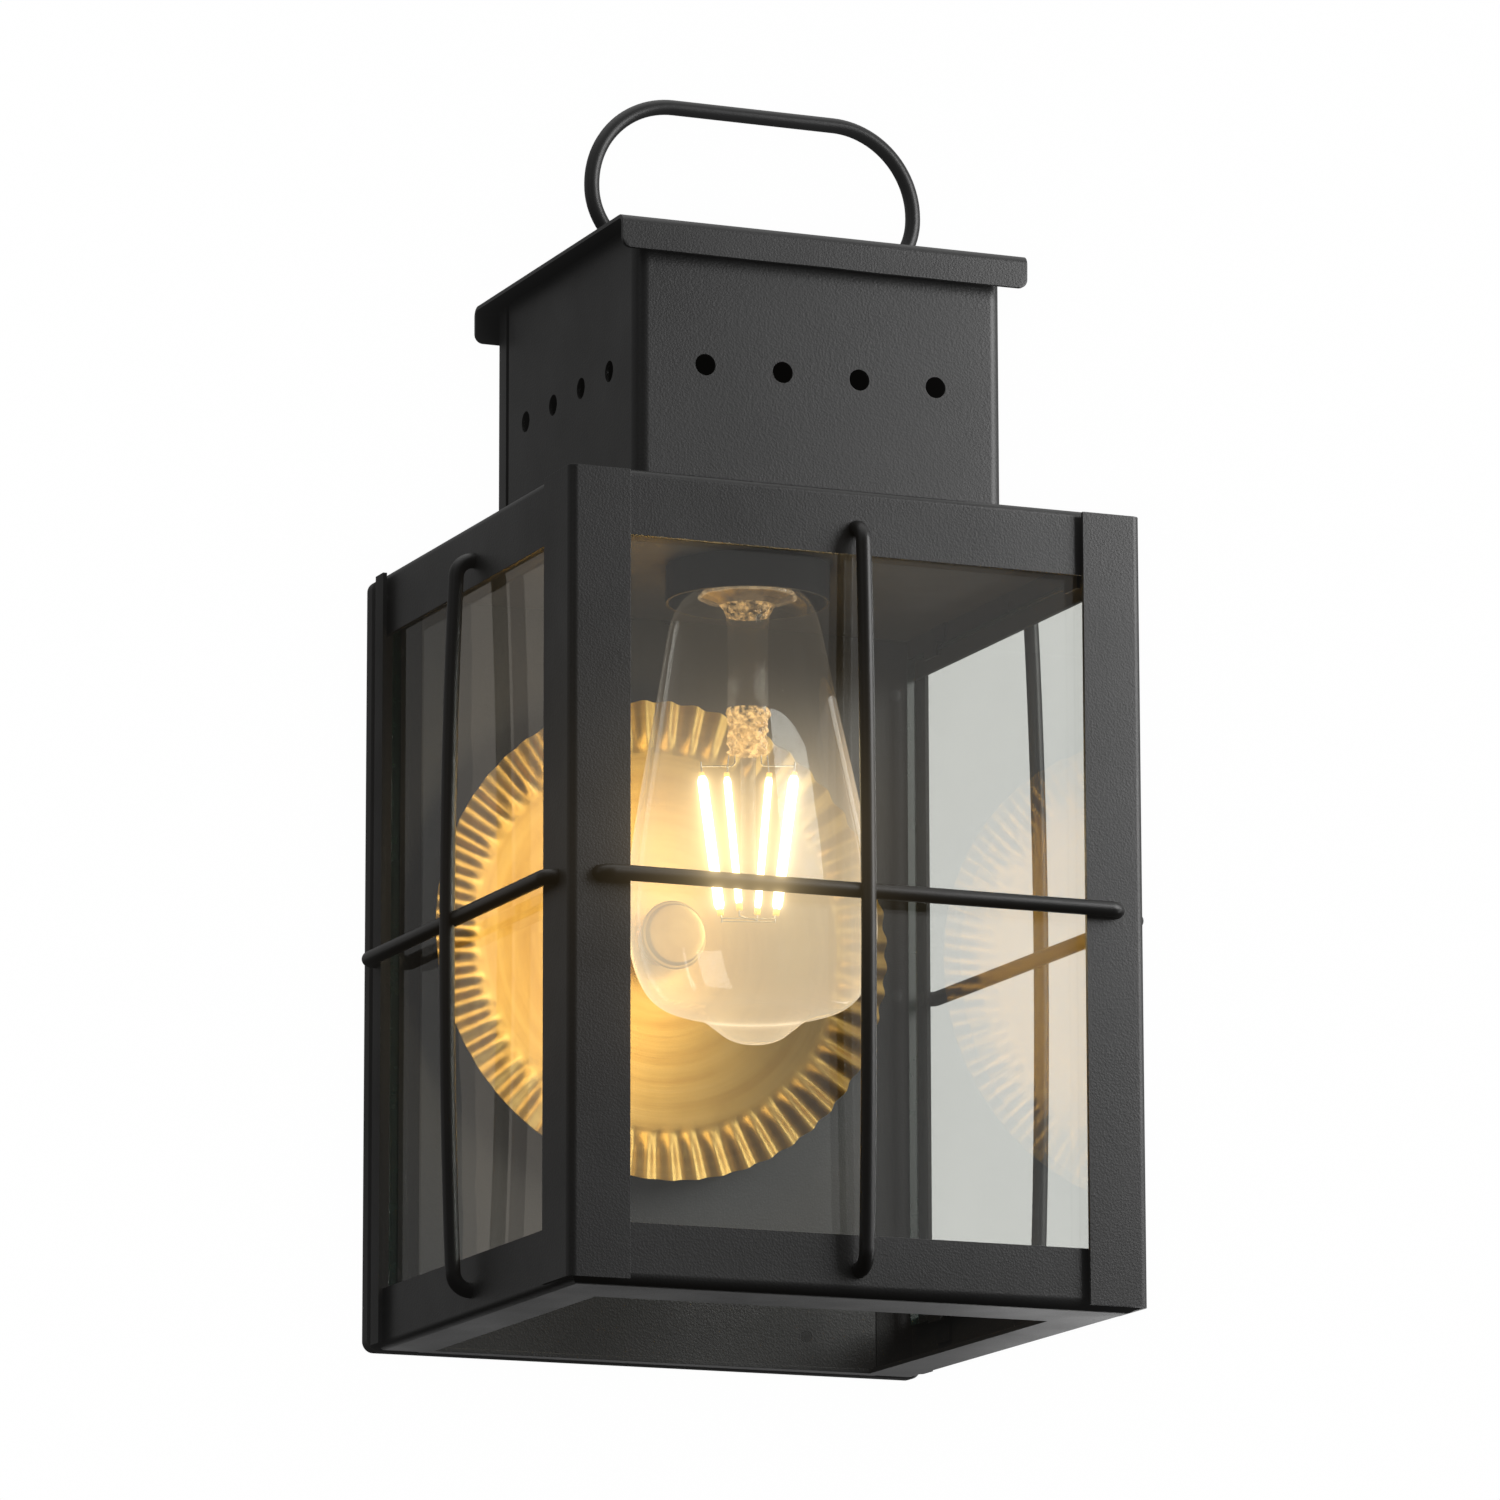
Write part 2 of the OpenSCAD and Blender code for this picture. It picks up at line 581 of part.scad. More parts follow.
module holder_locknut() {
  color([0.7, 0.7, 0.72]) place() difference() {
    union() {
      cz([0, my, cup_z1], 17, 1);
      translate([0, my, cup_z1 + 1]) cylinder(d = 16, h = 3.4, $fn = 6);
    }
    cz([0, my, cup_z1 - 1], 10, 8);
  }
}

// one insulated lead from the lampholder's top, over the ceiling plate, through the
// back pan and down its recess to the wall, drawn in the YZ plane
module bend(y, z, r, a) { translate([0, y, z]) rotate([0, -90, 0]) rotate([0, 0, a]) quarter(r, 2); }
module lead() {
  y0 = my + 11;
  yd = -34;
  ye = -wall_in / 2;
  cz([0, y0, 234], 2, 9);
  bend(y0 + 3, 243, 3, 270 - 360 + 360);
  cy([0, y0 + 3, 246], 2, yd - 3 - y0 - 3);
  bend(yd - 3, 243, 3, 0);
  cz([0, yd, lead_z + 3], 2, 243 - lead_z - 3);
  bend(yd + 3, lead_z + 3, 3, 180);
  cy([0, yd + 3, lead_z], 2, ye - 2 - yd - 3);
  bend(ye - 2, lead_z - 2, 2, 0);
  cz([0, ye, mount_z + 22], 2, lead_z - 2 - mount_z - 22);
  bend(ye + 1.8, mount_z + 22, 1.8, 180);
}
module lead_live() { color([0.1, 0.1, 0.1]) place() translate([lead_x, 0, 0]) lead(); }
module lead_neutral() { color([0.85, 0.85, 0.83]) place() translate([-lead_x, 0, 0]) lead(); }
module lead_bushings() {
  color([0.08, 0.08, 0.08]) place() for (x = [-lead_x, lead_x]) difference() {
    union() {
      cy([x, -pan_d - 0.9, lead_z], 6.6, 0.9);
      cy([x, -pan_d, lead_z], 4.6, 0.8);
    }
    cy([x, -8, lead_z], 2, 8);
    bx([x - 5, -8, post_top], [x + 5, 0, body_h + 3]);
  }
}

// ---------- bulb ----------
br = bulb_d / 2;
// outline of the bulb as [radius, height], from the neck down to the tip
bulb_pts = [[12.4, 198.6], [12.6, 195.4], [13.4, 194], [15, 192.9], [16.8, 191.3], [18.1, 189.2], [19.1, 187], [20.2, 183], [22.6, 170],
  [25.6, 155], [28.5, 140], [30.9, 126], [br - 0.2, 113], [br, 106], [br - 0.7, 99], [br - 2.3, 92.5],
  [br - 5, 87.2], [br - 8.6, 84], [20, 82.5], [16.4, 81.6], [13.2, 80.4], [10.4, 78.2], [7.2, 75.9], [4, 74.7], [0, 74.3]];
nb = len(bulb_pts);
function unit2(v) = v / norm(v);
function tangent(i) = unit2(bulb_pts[min(i + 1, nb - 1)] - bulb_pts[max(i - 1, 0)]);
function inner(i, t) = i == 0 ? [bulb_pts[0][0] - t, bulb_pts[0][1]] :
  i == nb - 1 ? [0, bulb_pts[i][1] + t] :
  bulb_pts[i] + t * [tangent(i)[1], -tangent(i)[0]];
module bulb_glass() {
  color([0.95, 0.85, 0.65, 0.35]) lamp() translate([0, my, 0]) rotate_extrude($fn = 64)
    polygon(concat([for (i = [0:nb - 1]) bulb_pts[i]], [for (i = [nb - 1:-1:0]) inner(i, 0.9)]));
}
module bulb_cap() {
  color([0.72, 0.7, 0.66]) lamp() difference() {
    union() {
      cz([0, my, 198.6], 26, 18.4);
      cz([0, my, 217], 23, 0.6);
    }
    cz([0, my, 198], 25, 18.6);
    cz([0, my, 216], 21, 3);
  }
}
module bulb_insulator() {
  color([0.06, 0.06, 0.07]) lamp() translate([0, my, 0]) difference() {
    union() {
      translate([0, 0, 216.6]) cylinder(d = 21, h = 1);
      translate([0, 0, 217.6]) cylinder(d1 = 22, d2 = 13, h = 3.4);
    }
    translate([0, 0, 216]) cylinder(d = 3, h = 8);
  }
}
module bulb_tip() {
  color([0.75, 0.75, 0.76]) lamp() {
    cz([0, my, 221], 9.6, 2);
    cz([0, my, 217.4], 3, 3.6);
  }
}
// the stem's pinch, the wires and the filaments lie in one plane, turned about the bulb's axis
module across() { translate([0, my, 0]) rotate([0, 0, -22.8]) children(); }
module bulb_stem() {
  color([0.9, 0.92, 0.9, 0.5]) lamp() across() {
    cz([0, 0, 197], 20, 1.6);
    cz([0, 0, 192.4], 25, 0.9);
    cz([0, 0, 160], 10.6, 37);
    bx([-5.3, -1.9, 150.5], [5.3, 1.9, 160]);
    cz([0, 0, 108], 4, 42.5);
  }
}
// the k-th filament's upper and lower ends
function fil_hi(k) = [[-12, 0, 144.8], [-5.5, 0.8, 144.8], [5.5, 0.8, 144.8], [12, 0, 144.8]][k];
function fil_lo(k) = [[-7.4, 0, 109.4], [-2.4, -3.3, 110.4], [2.4, 3.3, 110.4], [7.4, 0, 109.4]][k];
module stick(a, b, d) {
  v = b - a;
  l = norm(v);
  translate(a) rotate([0, acos(v[2] / l), atan2(v[1], v[0])]) cylinder(d = d, h = l, $fn = 20);
}
module bulb_filaments() {
  color([1, 0.85, 0.5]) lamp() across() for (k = [0:3]) stick(fil_lo(k), fil_hi(k), 2);
}
module bulb_wires() {
  color([0.6, 0.6, 0.6]) lamp() across() {
    // from the pinch outwards to the outer strips, and straight down to the inner ones
    bx([3.1, -0.3, 147.3], [3.7, 0.3, 150.3]);
    bx([3.1, -0.3, 147.3], [12.4, 0.3, 147.9]);
    bx([11.8, -0.3, 145.1], [12.4, 0.3, 148.7]);
    bx([-3.7, -0.3, 147.3], [-3.1, 0.3, 150.3]);
    bx([-12.4, -0.3, 147.3], [-3.1, 0.3, 147.9]);
    bx([-12.4, -0.3, 145.1], [-11.8, 0.3, 148.7]);
    for (s = [-1, 1]) bx([s * 5 - 0.3, 0.6, 145.1], [s * 5 + 0.3, 1.2, 150.3]);
    // the lower wire joins all four
    bx([-7.7, -0.3, 106.9], [7.7, 0.3, 107.5]);
    for (s = [-1, 1]) {
      bx([s * 7.4 - 0.3, -0.3, 106.9], [s * 7.4 + 0.3, 0.3, 109.1]);
      bx([s * 2.4 - 0.3, min(s * 3.6, 0), 106.9], [s * 2.4 + 0.3, max(s * 3.6, 0), 107.5]);
      bx([s * 2.4 - 0.3, s * 3.3 - 0.3, 106.9], [s * 2.4 + 0.3, s * 3.3 + 0.3, 110.1]);
    }
  }
}
module bulb_driver() {
  color([0.2, 0.4, 0.25]) lamp() {
    bx([-8, my - 0.8, 198.6], [8, my + 0.8, 214]);
    cz([-4, my + 4.3, 201], 7, 9);
    bx([1, my - 4.8, 202], [7, my - 0.8, 208]);
  }
}

// ---------- wall fixing ----------
module wall_strap() {
  color([0.72, 0.72, 0.74]) place() difference() {
    bx([-53, -2, mount_z - 8], [53, 0, mount_z + 8]);
    for (s = [-1, 1]) {
      for (e = [-1, 1]) cy([s * slot_pitch / 2 + e * (slot_len - slot_w) / 2, -3, mount_z], slot_w, 4);
      bx([s * slot_pitch / 2 - (slot_len - slot_w) / 2, -3, mount_z - slot_w / 2],
         [s * slot_pitch / 2 + (slot_len - slot_w) / 2, 1, mount_z + slot_w / 2]);
      cy([s * stud_pitch / 2, -3, mount_z], 4, 4);
    }
    cy([0, -3, mount_z], 11, 4);
    cy([16, -3, mount_z], 4, 4);
  }
}
module strap_studs() {
  color([0.7, 0.7, 0.72]) place() for (s = [-1, 1]) {
    cy([s * stud_pitch / 2, -9.8, mount_z], 4, 9.8);
    cy([s * stud_pitch / 2, -3, mount_z], 5.6, 1);
  }
}
module stud_washers() {
  color([0.7, 0.7, 0.72]) place() for (s = [-1, 1]) difference() {
    cy([s * stud_pitch / 2, -pan_d - 0.8, mount_z], 9, 0.8);
    cy([s * stud_pitch / 2, -8, mount_z], 4.3, 8);
  }
}
module stud_nuts() {
  color([0.7, 0.7, 0.72]) place() for (s = [-1, 1]) difference() {
    translate([s * stud_pitch / 2, -pan_d - 0.8, mount_z]) rotate([90, 0, 0]) cylinder(d = 8.08, h = 3.2, $fn = 6);
    cy([s * stud_pitch / 2, -12, mount_z], 4, 12);
  }
}
module earth_screw() {
  color([0.2, 0.5, 0.25]) place() difference() {
    union() {
      cy([16, -2, mount_z], 4, 2);
      cy([16, -3.4, mount_z], 7, 1.4);
    }
    bx([13, -4, mount_z - 0.5], [19, -2.8, mount_z + 0.5]);
  }
}

roof_tray();
ceiling_plate();
bottom_frame();
post_front_left();
post_front_right();
post_rear_left();
post_rear_right();
back_pan();
body_rivets();
chimney_shell();
chimney_back();
chimney_rivets();
chimney_screws();
cap();
cap_rivets();
handle();
handle_saddles();
saddle_rivets();
glass_front();
glass_left();
glass_right();
glass_clips();
guard_front_upright();
guard_front_cross();
guard_left_upright();
guard_left_cross();
guard_right_upright();
guard_right_cross();
reflector();
reflector_stud();
reflector_spacer();
reflector_washer();
reflector_nut();
lamp_cup();
lampholder_body();
lampholder_shell();
lampholder_contact();
lampholder_screws();
holder_nipple();
holder_locknut();
lead_live();
lead_neutral();
lead_bushings();
bulb_cap();
bulb_insulator();
bulb_tip();
bulb_glass();
bulb_stem();
bulb_filaments();
bulb_wires();
bulb_driver();
wall_strap();
strap_studs();
stud_washers();
stud_nuts();
earth_screw();
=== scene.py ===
"""Looks of the lantern wall light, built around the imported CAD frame."""

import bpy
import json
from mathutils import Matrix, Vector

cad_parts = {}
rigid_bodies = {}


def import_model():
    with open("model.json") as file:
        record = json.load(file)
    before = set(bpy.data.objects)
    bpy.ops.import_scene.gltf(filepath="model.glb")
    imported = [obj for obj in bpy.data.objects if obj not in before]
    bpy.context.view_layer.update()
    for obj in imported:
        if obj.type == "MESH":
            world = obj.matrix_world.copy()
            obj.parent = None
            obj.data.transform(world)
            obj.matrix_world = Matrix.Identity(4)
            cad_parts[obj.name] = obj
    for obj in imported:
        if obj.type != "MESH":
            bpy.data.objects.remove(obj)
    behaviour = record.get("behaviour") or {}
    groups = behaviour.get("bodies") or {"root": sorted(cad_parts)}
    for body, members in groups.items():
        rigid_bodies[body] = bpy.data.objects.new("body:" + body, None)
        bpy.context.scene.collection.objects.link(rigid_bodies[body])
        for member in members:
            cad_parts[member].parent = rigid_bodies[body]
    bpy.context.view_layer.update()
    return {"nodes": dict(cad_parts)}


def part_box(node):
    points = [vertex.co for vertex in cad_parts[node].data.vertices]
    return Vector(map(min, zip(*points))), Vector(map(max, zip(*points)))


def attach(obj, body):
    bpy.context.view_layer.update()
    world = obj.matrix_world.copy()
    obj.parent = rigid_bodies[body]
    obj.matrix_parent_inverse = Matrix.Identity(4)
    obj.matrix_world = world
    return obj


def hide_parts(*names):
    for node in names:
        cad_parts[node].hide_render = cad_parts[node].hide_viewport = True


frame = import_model()

import json
import math
import random

import bmesh
import bpy
from mathutils import Matrix, Vector, noise

SC = bpy.context.scene
MOUNT = 112.0  # the frame's zero above the bottom of the body, mm
MY = -73.5  # middle of the body and of the chimney, mm
NODES = frame["nodes"]


def pt(x, y, z):
    """A point given in mm above the bottom of the body, in the frame's metres."""
    return Vector((x / 1000, y / 1000, (z - MOUNT) / 1000))


# ------------------------------------------------------------------ camera
F_PX, YAW, PITCH, ROLL = 8474.27, -0.3979064, 0.2004651, -0.0021687
EYE = Vector((-0.838712, -2.070230, -0.287580 - MOUNT / 1000))
fwd = Vector((-math.sin(YAW) * math.cos(PITCH), math.cos(YAW) * math.cos(PITCH), math.sin(PITCH)))
right = Vector((math.cos(YAW), math.sin(YAW), 0.0))
up = right.cross(fwd)
r2 = right * math.cos(ROLL) + up * math.sin(ROLL)
u2 = up * math.cos(ROLL) - right * math.sin(ROLL)
cam_data = bpy.data.cameras.new("camera")
cam_data.sensor_width = 36.0
cam_data.sensor_fit = "HORIZONTAL"
cam_data.lens = F_PX / 1500 * 36.0
cam_data.clip_start, cam_data.clip_end = 0.05, 50
cam = bpy.data.objects.new("camera", cam_data)
SC.collection.objects.link(cam)
m = Matrix((r2, u2, -fwd)).transposed().to_4x4()
m.translation = EYE
cam.matrix_world = m
SC.camera = cam


# ------------------------------------------------------------------ node helpers
class Tree:
    """A short way to write a material's nodes."""

    def __init__(self, tree):
        self.t = tree
        self.t.nodes.clear()

    def n(self, kind, **kw):
        node = self.t.nodes.new(kind)
        for k, v in kw.items():
            setattr(node, k, v)
        return node

    def link(self, a, b):
        self.t.links.new(a, b)

    def put(self, socket, value):
        if isinstance(value, bpy.types.NodeSocket):
            self.t.links.new(value, socket)
        else:
            socket.default_value = value

    def math(self, op, a, b=0.0, c=0.0, clamp=False):
        node = self.n("ShaderNodeMath", operation=op, use_clamp=clamp)
        for s, v in zip(node.inputs, (a, b, c)):
            self.put(s, v)
        return node.outputs[0]

    def noise(self, vector, scale, detail=2.0, rough=0.5, distortion=0.0):
        node = self.n("ShaderNodeTexNoise")
        self.put(node.inputs["Vector"], vector)
        node.inputs["Scale"].default_value = scale
        node.inputs["Detail"].default_value = detail
        node.inputs["Roughness"].default_value = rough
        node.inputs["Distortion"].default_value = distortion
        return node.outputs["Fac"]

    def ramp(self, fac, stops):
        node = self.n("ShaderNodeValToRGB")
        self.put(node.inputs["Fac"], fac)
        e = node.color_ramp.elements
        e[0].position, e[0].color = stops[0][0], stops[0][1]
        e[1].position, e[1].color = stops[-1][0], stops[-1][1]
        for p, c in stops[1:-1]:
            x = e.new(p)
            x.color = c
        return node.outputs["Color"]

    def map(self, value, a, b, c, d, smooth=False):
        node = self.n("ShaderNodeMapRange")
        if smooth:
            node.interpolation_type = "SMOOTHSTEP"
        self.put(node.inputs["Value"], value)
        for k, v in zip(("From Min", "From Max", "To Min", "To Max"), (a, b, c, d)):
            self.put(node.inputs[k], v)
        return node.outputs["Result"]

    def bump(self, height, strength, distance, normal=None):
        node = self.n("ShaderNodeBump")
        self.put(node.inputs["Height"], height)
        node.inputs["Strength"].default_value = strength
        node.inputs["Distance"].default_value = distance
        if normal is not None:
            self.link(normal, node.inputs["Normal"])
        return node.outputs["Normal"]

    def object(self):
        return self.n("ShaderNodeTexCoord").outputs["Object"]

    def xyz(self, vector):
        node = self.n("ShaderNodeSeparateXYZ")
        self.link(vector, node.inputs[0])
        return node.outputs

    def vec(self, x=0.0, y=0.0, z=0.0):
        node = self.n("ShaderNodeCombineXYZ")
        for s, v in zip(node.inputs, (x, y, z)):
            self.put(s, v)
        return node.outputs[0]


def grey(v, a=1.0):
    return (v, v, v, a)


def material(name, base=(0.5, 0.5, 0.5), metallic=0.0, rough=0.5, spec=0.5, ior=1.5):
    mat = bpy.data.materials.new(name)
    mat.use_nodes = True
    t = Tree(mat.node_tree)
    out = t.n("ShaderNodeOutputMaterial")
    b = t.n("ShaderNodeBsdfPrincipled")
    b.inputs["Base Color"].default_value = (*base, 1)
    b.inputs["Metallic"].default_value = metallic
    b.inputs["Roughness"].default_value = rough
    b.inputs["Specular IOR Level"].default_value = spec
    b.inputs["IOR"].default_value = ior
    t.link(b.outputs[0], out.inputs["Surface"])
    return mat, t, b, out


# ------------------------------------------------------------------ materials
def powder_coat(name, dark, light, rough=(0.36, 0.46), grain=1.0, spec=0.5):
    """Black powder coat: a fine leather-like grain and a slight mottle."""
    mat, t, b, out = material(name, spec=spec)
    o = t.object()
    mottle = t.noise(o, 38, 4, 0.6)
    fine = t.noise(o, 900, 3, 0.62)
    t.put(b.inputs["Base Color"], t.ramp(t.math("ADD", t.math("MULTIPLY", mottle, 0.6), t.math("MULTIPLY", fine, 0.4)), [(0.36, dark), (0.66, light)]))
    t.put(b.inputs["Roughness"], t.map(t.noise(o, 26, 4, 0.6), 0.3, 0.7, rough[0], rough[1]))
    leather = t.n("ShaderNodeTexVoronoi", feature="SMOOTH_F1")
    t.link(o, leather.inputs["Vector"])
    leather.inputs["Scale"].default_value = 1800
    leather.inputs["Smoothness"].default_value = 0.7
    hills = t.math("ADD", t.math("MULTIPLY", leather.outputs["Distance"], 0.9), t.math("MULTIPLY", fine, 0.5))
    nrm = t.bump(t.noise(o, 30, 2), 0.05 * grain, 0.0012)
    t.link(t.bump(hills, 0.20 * grain, 0.00018, nrm), b.inputs["Normal"])
    return mat


BLACK = powder_coat("powder_coat_black", (0.0120, 0.0120, 0.0122, 1), (0.0185, 0.0185, 0.0187, 1))
BLACK_IN = powder_coat("powder_coat_inside", (0.0150, 0.0150, 0.0153, 1), (0.0220, 0.0220, 0.0225, 1), rough=(0.42, 0.54), grain=0.8)
# painted light: a paler copy of the black coat for the back wall's front face and the ceiling plate, standing in for
# the light that reaches them
BLACK_WALL_PAINTED_LIGHT = powder_coat("powder_coat_wall_painted_light", (0.0460, 0.0460, 0.0464, 1), (0.0600, 0.0600, 0.0606, 1), rough=(0.42, 0.54), grain=0.8)
# painted shade: a darker, less shiny copy of the black coat for the rear posts and the back pan's rim and back,
# standing in for the shade on them
BLACK_REAR_PAINTED_SHADE = powder_coat("powder_coat_rear_painted_shade", (0.0080, 0.0080, 0.0082, 1), (0.0120, 0.0120, 0.0122, 1), rough=(0.44, 0.56), spec=0.22)
# painted shade: a darker, matt copy of the black coat for the cap's underside, standing in for the shade under its lip
BLACK_UNDER_PAINTED_SHADE = powder_coat("powder_coat_under_painted_shade", (0.0050, 0.0050, 0.0051, 1), (0.0085, 0.0085, 0.0086, 1), rough=(0.58, 0.70), spec=0.10)
BLACK_WIRE = powder_coat("powder_coat_wire", (0.0065, 0.0065, 0.0066, 1), (0.0110, 0.0110, 0.0112, 1), rough=(0.32, 0.42), grain=0.5, spec=0.42)


def brass(name, rings=1.0, rough=(0.30, 0.42), centre=(0.0, 0.0), tint=1.0, turned=0.0):
    """Brushed brass: soft fine rings round the reflector's axis, with worn and tarnished patches."""
    mat, t, b, out = material(name, metallic=1.0)
    o = t.object()
    x, y, z = t.xyz(o)
    x = t.math("SUBTRACT", x, centre[0])
    z = t.math("SUBTRACT", z, centre[1])
    r = t.math("SQRT", t.math("ADD", t.math("MULTIPLY", x, x), t.math("MULTIPLY", z, z)))
    ang = t.math("ARCTAN2", z, x)
    fine = t.noise(t.vec(t.math("MULTIPLY", r, 2200), t.math("MULTIPLY", ang, 0.8), 0.0), 1.0, 2, 0.5)
    wide = t.noise(t.vec(t.math("MULTIPLY", r, 330), t.math("MULTIPLY", ang, 0.5), 3.0), 1.0, 3, 0.55)
    cloud = t.noise(o, 34, 3, 0.55)
    mix = t.math("ADD", t.math("MULTIPLY", wide, 0.5), t.math("MULTIPLY", cloud, 0.5))
    t.put(b.inputs["Base Color"], t.ramp(mix, [(0.30, (0.64 * tint, 0.375 * tint, 0.092 * tint, 1)), (0.52, (0.79 * tint, 0.510 * tint, 0.150 * tint, 1)), (0.72, (0.87 * tint, 0.605 * tint, 0.210 * tint, 1))]))
    t.put(b.inputs["Roughness"], t.map(t.math("ADD", t.math("MULTIPLY", fine, 0.4), t.math("MULTIPLY", cloud, 0.6)), 0.3, 0.7, rough[0], rough[1]))
    nrm = t.bump(cloud, 0.05, 0.0012)
    t.link(t.bump(t.math("ADD", fine, t.math("MULTIPLY", wide, 1.4)), 0.10 * rings, 0.00014, nrm), b.inputs["Normal"])
    if turned:
        b.inputs["Anisotropic"].default_value = turned
        grooves = t.n("ShaderNodeTangent", direction_type="RADIAL", axis="Y")
        t.link(grooves.outputs[0], b.inputs["Tangent"])
    return mat


BRASS = brass("brass_reflector", rings=1.8, rough=(0.38, 0.48), turned=0.6)
BRASS_FLUTE = brass("brass_flutes", rings=0.6, rough=(0.34, 0.42))
BRASS_NUT = brass("brass_turned", rough=(0.26, 0.36))


def metal(name, dark, light, rough=(0.25, 0.45), scale=700, bump=0.12):
    mat, t, b, out = material(name, metallic=1.0)
    o = t.object()
    cloud = t.noise(o, 90, 4, 0.6)
    fine = t.noise(o, scale, 3, 0.6)
    t.put(b.inputs["Base Color"], t.ramp(t.math("ADD", t.math("MULTIPLY", cloud, 0.7), t.math("MULTIPLY", fine, 0.3)), [(0.35, dark), (0.68, light)]))
    t.put(b.inputs["Roughness"], t.map(cloud, 0.3, 0.7, rough[0], rough[1]))
    t.link(t.bump(fine, bump, 0.0002), b.inputs["Normal"])
    return mat


ZINC = metal("zinc_plate", (0.52, 0.53, 0.54, 1), (0.72, 0.73, 0.74, 1), (0.28, 0.46))
NICKEL = metal("bulb_cap_nickel", (0.66, 0.62, 0.54, 1), (0.82, 0.78, 0.70, 1), (0.16, 0.30))
SHELL = metal("lampholder_shell", (0.62, 0.53, 0.36, 1), (0.78, 0.70, 0.52, 1), (0.22, 0.38))
SOLDER = metal("solder", (0.60, 0.60, 0.61, 1), (0.78, 0.78, 0.79, 1), (0.22, 0.42), 420, 0.3)
NICKEL_WIRE = metal("support_wire", (0.60, 0.56, 0.50, 1), (0.78, 0.74, 0.68, 1), (0.2, 0.34))


def plastic(name, dark, light, rough=(0.35, 0.5), scale=380, bump=0.15):
    mat, t, b, out = material(name)
    o = t.object()
    cloud = t.noise(o, 60, 4, 0.6)
    fine = t.noise(o, scale, 3, 0.6)
    t.put(b.inputs["Base Color"], t.ramp(t.math("ADD", t.math("MULTIPLY", cloud, 0.6), t.math("MULTIPLY", fine, 0.4)), [(0.35, dark), (0.66, light)]))
    t.put(b.inputs["Roughness"], t.map(cloud, 0.3, 0.7, rough[0], rough[1]))
    t.link(t.bump(fine, bump, 0.0002), b.inputs["Normal"])
    return mat


PHENOLIC = plastic("phenolic", (0.020, 0.016, 0.013, 1), (0.034, 0.027, 0.022, 1), (0.26, 0.4))
RUBBER = plastic("rubber", (0.018, 0.018, 0.018, 1), (0.030, 0.030, 0.030, 1), (0.6, 0.75))
LEAD_B = plastic("lead_black", (0.016, 0.016, 0.016, 1), (0.026, 0.026, 0.026, 1), (0.38, 0.5))
LEAD_W = plastic("lead_white", (0.64, 0.64, 0.61, 1), (0.76, 0.76, 0.73, 1), (0.38, 0.5))
BLACK_GLASS = plastic("insulator_glass", (0.010, 0.010, 0.014, 1), (0.020, 0.020, 0.026, 1), (0.08, 0.16), 380, 0.05)
BOARD = plastic("circuit_board", (0.030, 0.115, 0.045, 1), (0.050, 0.165, 0.070, 1), (0.35, 0.5), 900, 0.3)
GREEN = plastic("green_screw", (0.035, 0.20, 0.055, 1), (0.055, 0.27, 0.080, 1), (0.3, 0.42))


def thin_glass(name, tint, reflect=1.0, painted_haze_glow=None, rough=0.0, gloss=(1, 1, 1, 1), wobble=0.0, dust=0.0):
    """Glass seen as clear with a mirror that grows towards grazing angles. The glow tuple (low, high, amount, least,
    colour, strength) gives a painted glow: a share of even light given off by the glass itself, standing in for the
    haze and glare round the lit filaments, that fades from the first height to the second, in metres."""
    mat = bpy.data.materials.new(name)
    mat.use_nodes = True
    t = Tree(mat.node_tree)
    out = t.n("ShaderNodeOutputMaterial")
    o = t.object()
    clear = t.n("ShaderNodeBsdfTransparent")
    streak = t.noise(o, 30, 3)
    t.put(clear.inputs["Color"], t.ramp(streak, [(0.3, tint), (0.7, tuple(min(1.0, c * 1.012) for c in tint[:3]) + (1,))]))
    mirror = t.n("ShaderNodeBsdfGlossy")
    mirror.inputs["Color"].default_value = gloss
    mirror.inputs["Roughness"].default_value = rough
    if wobble:
        t.link(t.bump(t.noise(o, 24, 2), wobble, 0.004), mirror.inputs["Normal"])
    lw = t.n("ShaderNodeLayerWeight")
    lw.inputs["Blend"].default_value = 0.5
    schlick = t.math("MULTIPLY_ADD", t.math("POWER", lw.outputs["Facing"], 5.0), 0.957 * reflect, 0.043 * reflect, clamp=True)
    mix = t.n("ShaderNodeMixShader")
    t.link(schlick, mix.inputs["Fac"])
    t.link(clear.outputs[0], mix.inputs[1])
    t.link(mirror.outputs[0], mix.inputs[2])
    last = mix
    if painted_haze_glow:
        low, high, amount, least, colour, strength = painted_haze_glow
        shine = t.n("ShaderNodeEmission")
        t.put(shine.inputs["Color"], t.ramp(t.noise(o, 45, 2), [(0.3, colour), (0.7, tuple(min(1.0, c * 1.05) for c in colour[:3]) + (1,))]))
        shine.inputs["Strength"].default_value = strength
        share = t.map(t.xyz(o)[2], low, high, amount, least, smooth=True)
        share = t.math("MULTIPLY", share, t.math("MULTIPLY_ADD", t.math("POWER", lw.outputs["Facing"], 2.5), 0.9, 0.85))
        m2 = t.n("ShaderNodeMixShader")
        t.link(share, m2.inputs["Fac"])
        t.link(last.outputs[0], m2.inputs[1])
        t.link(shine.outputs[0], m2.inputs[2])
        last = m2
        mat.cycles.emission_sampling = "NONE"
    if dust:
        film = t.n("ShaderNodeBsdfDiffuse")
        film.inputs["Color"].default_value = (0.8, 0.8, 0.78, 1)
        specks = t.map(t.noise(o, 2100, 1, 0.5), 0.76, 0.84, 0.0, 0.10)
        smear = t.map(t.noise(o, 17, 4, 0.6), 0.35, 0.75, dust * 0.4, dust)
        m3 = t.n("ShaderNodeMixShader")
        t.link(t.math("ADD", smear, specks), m3.inputs["Fac"])
        t.link(last.outputs[0], m3.inputs[1])
        t.link(film.outputs[0], m3.inputs[2])
        last = m3
    t.link(last.outputs[0], out.inputs["Surface"])
    return mat


